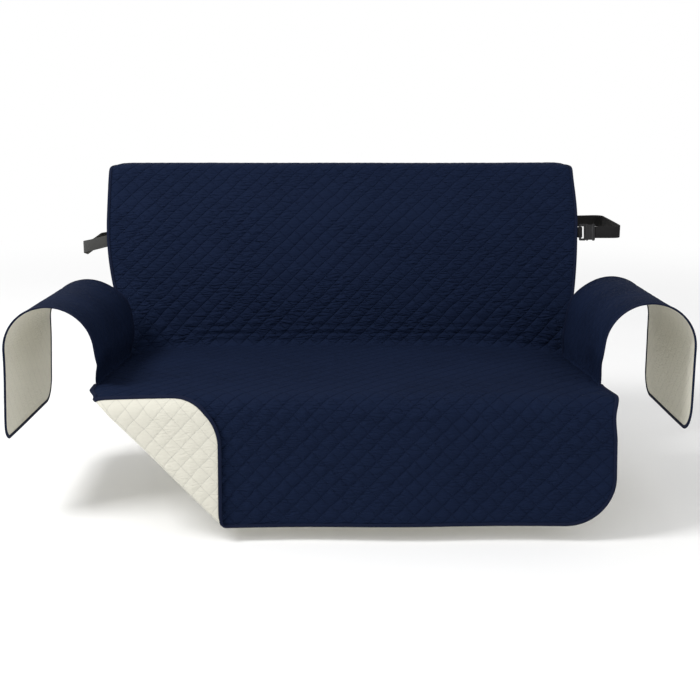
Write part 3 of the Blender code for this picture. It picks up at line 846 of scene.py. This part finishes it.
def finish_piece(name, bm, material, slot, *nodes):
    """Make a smooth object of a bmesh, on the body, in place of its solids."""
    for face in bm.faces:
        face.smooth = True
    mesh = bpy.data.meshes.new(name)
    bm.to_mesh(mesh)
    bm.free()
    mesh.materials.append(material)
    obj = bpy.data.objects.new(name, mesh)
    bpy.context.scene.collection.objects.link(obj)
    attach(obj, "root")
    if nodes:
        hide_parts(*nodes)
    return obj


def clear_of_stitches(point, pitches, origin):
    """0 on a stitch line and 1 halfway to the next, for the rising lines and the falling ones."""
    p = (point.x - origin[0]) / pitches[0]
    q = (point.y - origin[1]) / pitches[1]
    return abs(math.cos(math.pi * (p - q) / 2.0)), abs(math.cos(math.pi * (p + q) / 2.0))


def crease_stitches(sheet, pitches, origin):
    """Split the cells that a stitch line crosses, so that an edge runs along it."""
    sewn = [
        vert for vert in sheet.verts if min(clear_of_stitches(vert.co, pitches, origin)) < 0.001
    ]
    bmesh.ops.connect_verts(sheet, verts=sewn)


def quilter(props, pitches, origin, fullness, rim, reach):
    """Function that moves a flat point as quilting does, with its height above the middle in z."""

    def quilt(point, is_reverse):
        rising, falling = clear_of_stitches(point, pitches, origin)
        puff = rising**0.6 * (0.15 + 0.85 * falling**0.5)
        inside = rim.find(point)[2]
        full = fullness(point) * smoothstep(0.006, 0.018, inside)
        wrinkle = spotted(point.x, point.y, WRINKLE_SPOTS, 2.0)
        loft = props.loft * full * puff * (1.0 + 0.25 * noise.noise(point * LOFT_SPOTS))
        loft += props.pucker * full * wrinkle * min(puff * 2.0, 1.0)
        height = props.stitched_half * smoothstep(0.0, 0.003, inside)
        height = -height - REVERSE_LOFT * loft if is_reverse else height + loft
        wander = props.wander * smoothstep(0.004, 0.030, inside)
        drift_x = spotted(point.x, point.y, DRIFT_SPOTS, 5.0)
        drift_y = spotted(point.x, point.y, DRIFT_SPOTS, 15.0)
        place = point + wander * Vector((drift_x, drift_y, 0.0)) + reach(point)
        return Vector((place.x, place.y, height))

    return quilt


def add_surface(name, flat, quilt, drape, is_reverse, is_mirrored, material, *nodes):
    """Drape one side of a flat sheet, with its flat position in its UV map."""
    bm = flat.copy()
    uv_map = bm.loops.layers.uv.new("UVMap")
    for face in bm.faces:
        for loop in face.loops:
            loop[uv_map].uv = loop.vert.co.xy
    for vert in bm.verts:
        vert.co = drape(quilt(vert.co, is_reverse))
    if is_reverse != is_mirrored:
        bmesh.ops.reverse_faces(bm, faces=bm.faces)
    return finish_piece(name, bm, material, "quilted_cloth", *nodes)


def add_tape(name, length, step, profile, place, material, slot, *nodes):
    """Sweep a closed profile of (across, height) points along a length, and close its ends."""
    count = max(2, round(length / step))
    bm = flat_sheet(count, len(profile), length, len(profile), (length / 2.0, len(profile) / 2.0))
    uv_map = bm.loops.layers.uv.new("UVMap")
    for face in bm.faces:
        for loop in face.loops:
            across = profile[round(loop.vert.co.y) % len(profile)][0]
            loop[uv_map].uv = (loop.vert.co.x, across)
    for vert in bm.verts:
        across, height = profile[round(vert.co.y) % len(profile)]
        vert.co = place(vert.co.x, across, height)
    bmesh.ops.remove_doubles(bm, verts=bm.verts, dist=1e-6)
    bmesh.ops.holes_fill(bm, edges=[edge for edge in bm.edges if edge.is_boundary], sides=0)
    bmesh.ops.recalc_face_normals(bm, faces=bm.faces)
    return finish_piece(name, bm, material, slot, *nodes)


def add_binding(name, node, points, sense, step, seed, drape, scene):
    """Add the binding tape along a flat outline, whose outward side is given by sense."""
    outline = Outline(points, OUTLINE_STEP)

    def place(along, across, height):
        point, outward = outline.at(along)
        point = point + outward * across * sense
        uneven = 1.0 + TAPE_WAVE * spotted(along, across, TAPE_SPOTS, seed)
        return drape(Vector((point.x, point.y, height * uneven)))

    profile = binding_profile(scene.slipcover_binding)
    tape = materials_of(scene)("Navy binding tape")
    return add_tape(name, outline.length, step, profile, place, tape, "binding", node)


def binding_profile(props):
    """Cross-section of the folded tape, from its lap on the face to its lap on the reverse."""
    half, width, lip = props.thickness / 2.0, props.width + GAP, CLOTH_REACH - props.lap
    side = (
        (lip, 0.70 * half),
        (lip + 0.0006, 0.94 * half),
        (lip + 0.0014, 0.86 * half),
        (lip + 0.0020, 0.98 * half),
        (0.45 * width, half),
        (0.62 * width, 0.96 * half),
        (0.88 * width, 0.72 * half),
        (0.975 * width, 0.36 * half),
    )
    return [*side, (width, 0.0), *[(across, -height) for across, height in reversed(side)]]


def band_profile(width, thickness):
    """Cross-section of a flat band with soft selvedges."""
    half = width / 2.0
    side = (
        (-half + SELVEDGE / 4.0, 0.30),
        (-half + SELVEDGE, 0.50),
        (0.0, 0.46),
        (half - SELVEDGE, 0.50),
        (half - SELVEDGE / 4.0, 0.30),
    )
    upper = [(across, thickness * share) for across, share in side]
    lower = [(across, -height) for across, height in reversed(upper)]
    return [(-half, 0.0), *upper, (half, 0.0), *lower]


def edge_at(side, v):
    """Distance from the middle of the main panel to the outside of its binding."""
    return main_half_width(side, v) + GAP + BINDING_WIDTH


def arm_reach():
    """Where an arm panel's cloth starts at the front and ends at the rear."""
    front = V_SEAM_FRONT - SEAM_END_GAP - BINDING_WIDTH
    return front, V_SEAM_REAR + SEAM_REAR_GAP + BINDING_WIDTH


def arm_pitches(length):
    """Half a diamond around an arm, and along its depth."""
    v_front, v_rear = arm_reach()
    around, depth = length / ARM_CELLS_AROUND, (v_front - v_rear) / ARM_CELLS_DEEP
    return around * DIAMOND_SHARE, depth * DIAMOND_SHARE


def materials_of(scene):
    """Function that finds a finish by its name, and makes it when it is first asked for."""
    cloth, strap = scene.slipcover_cloth, scene.slipcover_strap
    elastic = (strap.colour, (math.tau / ELASTIC_RIB, 0.0), 0.5, (), 0.85, 0.02)
    tape = (scene.slipcover_binding.colour, (0.0, math.tau / TAPE_RIB), 0.15, TAPE_STITCHES)
    makers = {
        "Navy binding tape": (tape_material, *tape, 0.75, 0.0),
        # The elastic carries a painted highlight near its start
        "Woven elastic": (tape_material, *elastic, strap.painted_light_colour),
        "Woven webbing": (tape_material, *elastic),
        "Black moulded plastic": (plastic_material, scene.slipcover_buckle.colour),
    }
    main_pitches = (cloth.diamond_across, cloth.diamond_along)
    panels = [("", main_pitches, HEM_CORNER, 0.16, (26.0, 105.0))]
    for arm, _, length, *_ in ARMS:
        origin = (0.0, -arm_reach()[0])
        panels.append((f", {arm} arm", arm_pitches(length), origin, 0.15, (34.0, 135.0)))
    for panel, pitches, origin, share, grain in panels:
        navy = (cloth.navy, shade(cloth.navy, 0.6), share, 0.30, pitches, origin, grain, 1.0)
        cream = (cloth.cream, cloth.cream_thread, 0.70, 0.05, pitches, origin)
        makers["Navy microfibre" + panel] = (cloth_material, *navy)
        makers["Cream microfibre" + panel] = (cloth_material, *cream, (120.0, 34.0), 0.30)

    def find(name):
        maker, *settings = makers[name]
        return bpy.data.materials.get(name) or maker(name, *settings)

    return find


class SLIPCOVER_OT_main_panel(Operator):
    """Add the quilted main panel with its turned-back corner and its binding."""

    bl_idname = "slipcover.main_panel"
    bl_label = "Main panel"

    def execute(self, context):
        scene = context.scene
        props = scene.slipcover_cloth
        find = materials_of(scene)
        columns = COLUMNS_LEFT + COLUMNS_RIGHT
        centre = ((COLUMNS_RIGHT - COLUMNS_LEFT) * PITCH / 2.0, -(V_HEM + V_FLAP) / 2.0)
        flat = flat_sheet(columns * FINE, ROWS * FINE, columns * PITCH, ROWS * ROW, centre)
        levels = [-V_HEM + row * ROW / 2.0 for row in range(2 * ROWS + 1)]
        for side in (-1, 1):
            trim_side(flat, lambda y, s=side: main_half_width(s, -y), side, levels)
            drop_corner = (side * main_half_width(side, V_HEM), -V_HEM)
            flap_corner = (side * main_half_width(side, V_FLAP), -V_FLAP)
            round_corner(flat, drop_corner, (-side, 1), DROP_CORNER)
            round_corner(flat, flap_corner, (-side, -1), FLAP_CORNER)
        near = [
            face
            for face in flat.faces
            if abs(past_fold(face.calc_center_median())) < PITCH / 2.0
        ]
        for step in range(ROLL_STEPS + 1):
            at = HEM_CORNER + FOLD * (FOLD_REACH + ROLL_LENGTH * (step / ROLL_STEPS - 0.5))
            near = cut_along(flat, near, at, FOLD)
        bmesh.ops.remove_doubles(flat, verts=flat.verts, dist=MERGE)
        pitches = (props.diamond_across, props.diamond_along)
        crease_stitches(flat, pitches, HEM_CORNER)

        def fullness(point):
            v = -point.y
            full = 0.45 + 0.35 * smoothstep(2.0 * ROW, 5.0 * ROW, abs(v))
            full += 0.45 * smoothstep(V_CREASE - 0.16, V_CREASE - 0.04, v)
            full *= 1.0 - 0.55 * between((V_CREASE, V_CREASE + 0.05), (V_DROP - 0.04, V_DROP), v)
            from_fold = past_fold(point) / (2.0 * ROLL_RADIUS)
            return full * (1.0 - 0.75 * math.exp(-(from_fold**2)))

        def reach(point):
            """Step of the free edges outward, under the binding."""
            side, v = (1 if point.x > 0.0 else -1), -point.y
            sewn = between((V_SEAM_REAR, V_SEAM_REAR + 0.012), (V_SEAM_END - 0.012, V_SEAM_END), v)
            across = point.x / main_half_width(side, v)
            along = (point.y - centre[1]) / (ROWS * ROW / 2.0)
            return CLOTH_REACH * Vector((across**3 * (1.0 - sewn), along**3, 0.0))

        quilt = quilter(props, pitches, HEM_CORNER, fullness, rim_of(flat), reach)
        navy, cream = find("Navy microfibre"), find("Cream microfibre")
        draped = (flat, quilt, drape_turned)
        face = add_surface("main_panel_face", *draped, False, False, navy, "main_panel")
        reverse = add_surface("main_panel_reverse", *draped, True, False, cream)
        area = sum(f.calc_area() for f in flat.faces)
        flat.free()

        tapes = (
            ("front", 1.0, V_SEAM_END - TAPE_TUCK, V_HEM, DROP_CORNER),
            ("back", -1.0, -V_SEAM_REAR - TAPE_TUCK, -V_FLAP, FLAP_CORNER),
        )
        for name, sense, top, bottom, corner in tapes:
            points = outline_of(
                lambda y, s=sense: main_half_width(1, -y * s),
                lambda y, s=sense: main_half_width(-1, -y * s),
                -top,
                -bottom,
                corner,
                corner,
            )
            points = [Vector((point.x, point.y * sense, 0.0)) for point in points]
            names = (f"binding_{name}_tape", f"binding_{name}")
            tape = add_binding(*names, points, sense, 0.0025, 9.0, drape_turned, scene)
        return {"FINISHED"}


class SLIPCOVER_OT_arm_panels(Operator):
    """Add the two quilted arm panels with their binding."""

    bl_idname = "slipcover.arm_panels"
    bl_label = "Arm panels"

    def execute(self, context):
        scene = context.scene
        props = scene.slipcover_cloth
        find = materials_of(scene)
        v_front, v_rear = arm_reach()
        depth, centre_v = v_front - v_rear, (v_front + v_rear) / 2.0
        for name, side, length, front_corner, flare, rise in ARMS:
            total = length + SEAM_ALLOWANCE
            around = round(ARM_CELLS_AROUND * FINE * total / length)
            centre = (0.0, SEAM_ALLOWANCE - total / 2.0)
            flat = flat_sheet(ARM_CELLS_DEEP * FINE, around, depth, total, centre)
            for hand, radius in ((-1, front_corner), (1, ARM_CORNER_REAR)):
                round_corner(flat, (hand * depth / 2.0, -length), (-hand, 1), radius)
            for vert in flat.verts:
                vert.co = Vector((-vert.co.y, vert.co.x - centre_v, 0.0))
            bmesh.ops.remove_doubles(flat, verts=flat.verts, dist=MERGE)
            pitches = arm_pitches(length)
            crease_stitches(flat, pitches, (0.0, -v_front))

            def fullness(point):
                return 0.32 * smoothstep(-0.002, 0.012, point.x)

            def reach(point, length=length):
                """Step of the free edges outward, under the binding."""
                along = (point.y + centre_v) / (depth / 2.0)
                return CLOTH_REACH * Vector((max(point.x / length, 0.0) ** 3, along**3, 0.0))

            quilt = quilter(props, pitches, (0.0, -v_front), fullness, rim_of(flat), reach)
            drape = arm_draper(side, length, flare, rise)
            navy = find(f"Navy microfibre, {name} arm")
            cream = find(f"Cream microfibre, {name} arm")
            draped, mirrored = (flat, quilt, drape), side < 0
            face = add_surface(
                f"arm_{name}_face", *draped, False, mirrored, navy, f"arm_panel_{name}"
            )
            reverse = add_surface(f"arm_{name}_reverse", *draped, True, mirrored, cream)
            area = sum(f.calc_area() for f in flat.faces)
            flat.free()

            points = outline_of(
                lambda y: depth / 2.0,
                lambda y: depth / 2.0,
                TAPE_TUCK,
                -length,
                ARM_CORNER_REAR,
                front_corner,
            )
            points = [Vector((-point.y, point.x - centre_v, 0.0)) for point in points]
            names = (f"binding_{name}_tape", f"binding_arm_{name}")
            tape = add_binding(*names, points, 1.0, 0.005, 13.0, drape, scene)
        return {"FINISHED"}


class SLIPCOVER_OT_strap(Operator):
    """Add the elastic strap round the back and the webbing tab at its buckle."""

    bl_idname = "slipcover.strap"
    bl_label = "Strap and tab"

    def execute(self, context):
        scene = context.scene
        props = scene.slipcover_strap
        find = materials_of(scene)
        start = edge_at(-1, STRAP_V_LEFT) - STRAP_TUCK
        end = edge_at(1, STRAP_V_RIGHT) + RING_SPACE + RING_LENGTH + BODY_LENGTH + 2 * GAP
        straight_half = STRAP_HALF_SPAN - STRAP_BEND
        bend = STRAP_BEND * math.pi / 2.0
        stretches = (
            ("front left", straight_half - STRAP_SHIFT - start, 0.0),
            ("front left corner", bend, 90.0),
            ("left side", STRAP_SIDE, 0.0),
            ("rear left corner", bend, 90.0),
            ("rear", 2.0 * straight_half, 0.0),
            ("rear right corner", bend, 90.0),
            ("right side", STRAP_SIDE, 0.0),
            ("front right corner", bend, 90.0),
            ("front right", straight_half + STRAP_SHIFT - end, 0.0),
        )
        path = Path((-start, 0.0), 180.0, stretches)
        ends = path.ends

        def place_strap(along, across, height):
            plan, heading = path.at(along)
            turned = smoothstep(ends["front left"], ends["front left corner"], along)
            turned -= smoothstep(ends["right side"], ends["front right corner"], along)
            round_back = smoothstep(ends["front left corner"], ends["right side"], along)
            v = STRAP_V_LEFT + STRAP_DIP * min(along / STRAP_DIP_LENGTH, 1.0)
            v += (STRAP_V_RIGHT - STRAP_V_LEFT - STRAP_DIP) * round_back
            leaning = drape_main(plan.x, v - across)
            upright = Vector((plan.x, STRAP_Y, drape_main(plan.x, v).z + across))
            point = leaning.lerp(upright, turned)
            point.y += plan.y
            outside = Vector((-math.sin(heading), math.cos(heading), 0.0))
            normal = section_at(v)[1].lerp(outside, turned).normalized()
            depth = STRAP_DEPTH + (BUCKLE_DEPTH - STRAP_DEPTH) * along / path.length
            return point + normal * (height - depth)

        band = (0.008, band_profile(props.width, props.thickness), place_strap)
        add_tape("strap_elastic", path.length, *band, find("Woven elastic"), "strap", "strap")

        edge = edge_at(1, STRAP_V_RIGHT)
        half_loop = (scene.slipcover_buckle.ring_thickness + props.thickness) / 2.0 + GAP
        half_pair = (props.thickness + GAP) / 2.0
        spread = math.radians(TAB_SPREAD)
        spread_radius = (half_loop - half_pair) / (2.0 * (1.0 - math.cos(spread)))
        over_bar = RING_SPACE + RING_BAR - 2.0 * spread_radius * math.sin(spread)
        tab_path = Path(
            (-TAB_TUCK, -half_pair),
            0.0,
            (
                ("rear layer", TAB_TUCK, 0.0),
                ("rear spread", spread_radius * spread, TAB_SPREAD),
                ("rear return", spread_radius * spread, -TAB_SPREAD),
                ("rear of the bar", over_bar, 0.0),
                ("round the bar", half_loop * math.pi, -180.0),
                ("front of the bar", over_bar, 0.0),
                ("front return", spread_radius * spread, -TAB_SPREAD),
                ("front spread", spread_radius * spread, TAB_SPREAD),
                ("front layer", TAB_TUCK, 0.0),
            ),
        )

        def place_tab(along, across, height):
            point, heading = tab_path.at(along)
            point = point + Vector((-math.sin(heading), math.cos(heading))) * height
            return drape_main(edge + point.x, STRAP_V_RIGHT - across, point.y - BUCKLE_DEPTH)

        band = (0.0012, band_profile(props.tab_width, props.thickness), place_tab)
        add_tape("tab_webbing", tab_path.length, *band, find("Woven webbing"), "strap", "tab")
        return {"FINISHED"}


class SLIPCOVER_OT_buckle(Operator):
    """Add the ring and the buckle's body."""

    bl_idname = "slipcover.buckle"
    bl_label = "Buckle"

    def execute(self, context):
        scene = context.scene
        props = scene.slipcover_buckle
        plastic = materials_of(scene)("Black moulded plastic")
        edge = edge_at(1, STRAP_V_RIGHT)

        def moulded(name, flat, half_at, node):
            """Thicken a flat plate, round its edges, and set it in place beside the panel."""
            reach_x = max(vert.co.x for vert in flat.verts) - 1e-5
            near_x = min(vert.co.x for vert in flat.verts) + 1e-5
            corners = [
                vert
                for vert in flat.verts
                if len(vert.link_faces) == 1 and not near_x < vert.co.x < reach_x
            ]
            rounded = {"profile": 0.5, "material": -1}
            bmesh.ops.bevel(
                flat, geom=corners, offset=BUCKLE_CORNER, segments=5, affect="VERTICES", **rounded
            )
            bmesh.ops.recalc_face_normals(flat, faces=flat.faces)
            flat.normal_update()
            bmesh.ops.solidify(flat, geom=list(flat.faces), thickness=props.ring_thickness)
            middle = sum(vert.co.z for vert in flat.verts) / len(flat.verts)
            for vert in flat.verts:
                vert.co.z = math.copysign(half_at(vert.co), vert.co.z - middle)
            sharp = [item for item in flat.edges if item.calc_face_angle() > math.radians(25.0)]
            bmesh.ops.bevel(
                flat, geom=sharp, offset=props.rounding, segments=4, affect="EDGES", **rounded
            )
            for vert in flat.verts:
                u, v = edge + vert.co.x, STRAP_V_RIGHT - vert.co.y
                vert.co = drape_main(u, v, vert.co.z - BUCKLE_DEPTH)
            bmesh.ops.recalc_face_normals(flat, faces=flat.faces)
            finish_piece(name, flat, plastic, "buckle", node)

        centre = (RING_SPACE + RING_LENGTH / 2.0, 0.0)
        ring = flat_sheet(3, 3, RING_LENGTH, props.height, centre)
        for vert in ring.verts:
            off_centre = vert.co.x - centre[0]
            if abs(off_centre) < 0.4 * RING_LENGTH:
                hole = math.copysign(RING_LENGTH / 2.0 - RING_BAR, off_centre)
                vert.co.x = centre[0] + hole
            if abs(vert.co.y) < 0.4 * props.height:
                vert.co.y = math.copysign(props.height / 2.0 - RING_BAR, vert.co.y)

        def off_middle(face):
            return (face.calc_center_median().xy - Vector(centre)).length

        bmesh.ops.delete(ring, geom=[min(ring.faces, key=off_middle)], context="FACES")
        moulded("buckle_ring", ring, lambda point: props.ring_thickness / 2.0, "ring")

        start = RING_SPACE + RING_LENGTH + GAP
        ribs, halves = zip(*BODY_RIBS)
        centre = (start + BODY_LENGTH / 2.0, 0.0)
        body = flat_sheet(len(ribs) - 1, 4, BODY_LENGTH, props.height, centre)
        columns = sorted({round(vert.co.x, 6) for vert in body.verts})
        index_of = {vert: columns.index(round(vert.co.x, 6)) for vert in body.verts}
        for vert, index in index_of.items():
            vert.co.x = start + ribs[index]
            if abs(vert.co.y) > 0.4 * props.height and index in (2, 3):
                vert.co.y -= math.copysign(BODY_WAIST, vert.co.y)

        def rib_half(point):
            nearest = min(range(len(ribs)), key=lambda i: abs(point.x - start - ribs[i]))
            return props.body_thickness / 2.0 * halves[nearest]

        moulded("buckle_block", body, rib_half, "buckle_body")
        return {"FINISHED"}


class SLIPCOVER_OT_stage(Operator):
    """Add the floor, the lights and the camera."""

    bl_idname = "slipcover.stage"
    bl_label = "Stage"

    def execute(self, context):
        props = context.scene.slipcover_stage
        material, tree, shader = new_material("Studio floor", (0.95, 0.95, 0.95), 0.9)
        place = add_node(tree, "ShaderNodeTexCoord", None, None, output=3)
        cloud = add_node(tree, "ShaderNodeTexNoise", None, {0: place, 2: 3.0})
        paint = blend_colours(tree, cloud, (0.94, 0.94, 0.94), (0.96, 0.96, 0.96))
        tree.links.new(paint.socket, shader.inputs["Base Color"])
        seen = add_node(tree, "ShaderNodeLightPath")
        away = add_node(tree, "ShaderNodeVectorMath", {"operation": "LENGTH"}, [place], output=1)
        glow = add_node(tree, "ShaderNodeEmission", None, {"Strength": 1.0})
        painted = Value(tree, shader.outputs[0])
        mixed = [away.within(*HAZE) * seen, painted, glow]
        surface = add_node(tree, "ShaderNodeMixShader", None, mixed)
        tree.links.new(surface.socket, tree.nodes["Material Output"].inputs["Surface"])
        bm = bmesh.new()
        bmesh.ops.create_grid(bm, x_segments=2, y_segments=2, size=FLOOR_HALF)
        floor_z = CAD_BOUNDS[0][2] - props.floor_gap
        bmesh.ops.translate(bm, verts=bm.verts, vec=(0.0, 0.0, floor_z))
        mesh = bpy.data.meshes.new("studio_floor")
        bm.to_mesh(mesh)
        bm.free()
        mesh.materials.append(material)
        floor = bpy.data.objects.new("studio_floor", mesh)
        context.scene.collection.objects.link(floor)

        world = bpy.data.worlds.new("Studio")
        world.use_nodes = True
        background = world.node_tree.nodes["Background"]
        background.inputs["Color"].default_value = (1.0, 1.0, 1.0, 1.0)
        seen = add_node(world.node_tree, "ShaderNodeLightPath")
        strength = seen * (1.0 - props.sky) + props.sky
        world.node_tree.links.new(strength.socket, background.inputs["Strength"])
        context.scene.world = world
        context.scene.view_settings.view_transform = "Standard"

        lights = (
            ("Key", (-3.0, -1.5, 3.0), 1.4, props.key),
            ("Fill", (2.8, -3.0, 1.2), 2.4, props.fill),
        )
        for name, place, size, power in lights:
            lamp = bpy.data.lights.new(name, "AREA")
            lamp.energy = power
            lamp.size = size
            light = bpy.data.objects.new(name, lamp)
            light.location = place
            aim = LIT_POINT - light.location
            light.rotation_euler = aim.to_track_quat("-Z", "Y").to_euler()
            context.scene.collection.objects.link(light)

        lens = bpy.data.cameras.new("Camera")
        lens.lens = props.lens
        lens.sensor_width = SENSOR
        camera = bpy.data.objects.new("Camera", lens)
        camera.location = CAMERA_PLACE
        camera.rotation_euler = (math.pi / 2.0 - props.tilt, 0.0, 0.0)
        context.scene.collection.objects.link(camera)
        context.scene.camera = camera
        return {"FINISHED"}


class SLIPCOVER_PT_sidebar(Panel):
    """Lists the pieces and their sizes in the sidebar."""

    bl_label = "Slipcover"
    bl_idname = "SLIPCOVER_PT_sidebar"
    bl_space_type = "VIEW_3D"
    bl_region_type = "UI"
    bl_category = "Slipcover"

    def draw(self, context):
        for group, operators in GROUPS.items():
            box = self.layout.box()
            props = getattr(context.scene, group)
            for name in props.bl_rna.properties.keys():
                if name not in ("rna_type", "name"):
                    box.prop(props, name)
            for operator in operators:
                box.operator(operator.bl_idname)


GROUPS = {
    "slipcover_cloth": (SLIPCOVER_OT_main_panel, SLIPCOVER_OT_arm_panels),
    "slipcover_binding": (),
    "slipcover_strap": (SLIPCOVER_OT_strap,),
    "slipcover_buckle": (SLIPCOVER_OT_buckle,),
    "slipcover_stage": (SLIPCOVER_OT_stage,),
}
PROPERTIES = {
    "slipcover_cloth": SLIPCOVER_PG_cloth,
    "slipcover_binding": SLIPCOVER_PG_binding,
    "slipcover_strap": SLIPCOVER_PG_strap,
    "slipcover_buckle": SLIPCOVER_PG_buckle,
    "slipcover_stage": SLIPCOVER_PG_stage,
}
OPERATORS = [operator for group in GROUPS.values() for operator in group]


def register():
    for kind in (*PROPERTIES.values(), *OPERATORS, SLIPCOVER_PT_sidebar):
        bpy.utils.register_class(kind)
    for name, kind in PROPERTIES.items():
        setattr(bpy.types.Scene, name, PointerProperty(type=kind))


def unregister():
    for name in PROPERTIES:
        delattr(bpy.types.Scene, name)
    for kind in reversed((*PROPERTIES.values(), *OPERATORS, SLIPCOVER_PT_sidebar)):
        bpy.utils.unregister_class(kind)


def main():
    register()
    bpy.ops.slipcover.main_panel()
    bpy.ops.slipcover.arm_panels()
    bpy.ops.slipcover.strap()
    bpy.ops.slipcover.buckle()
    bpy.ops.slipcover.stage()


if __name__ == "__main__":
    main()
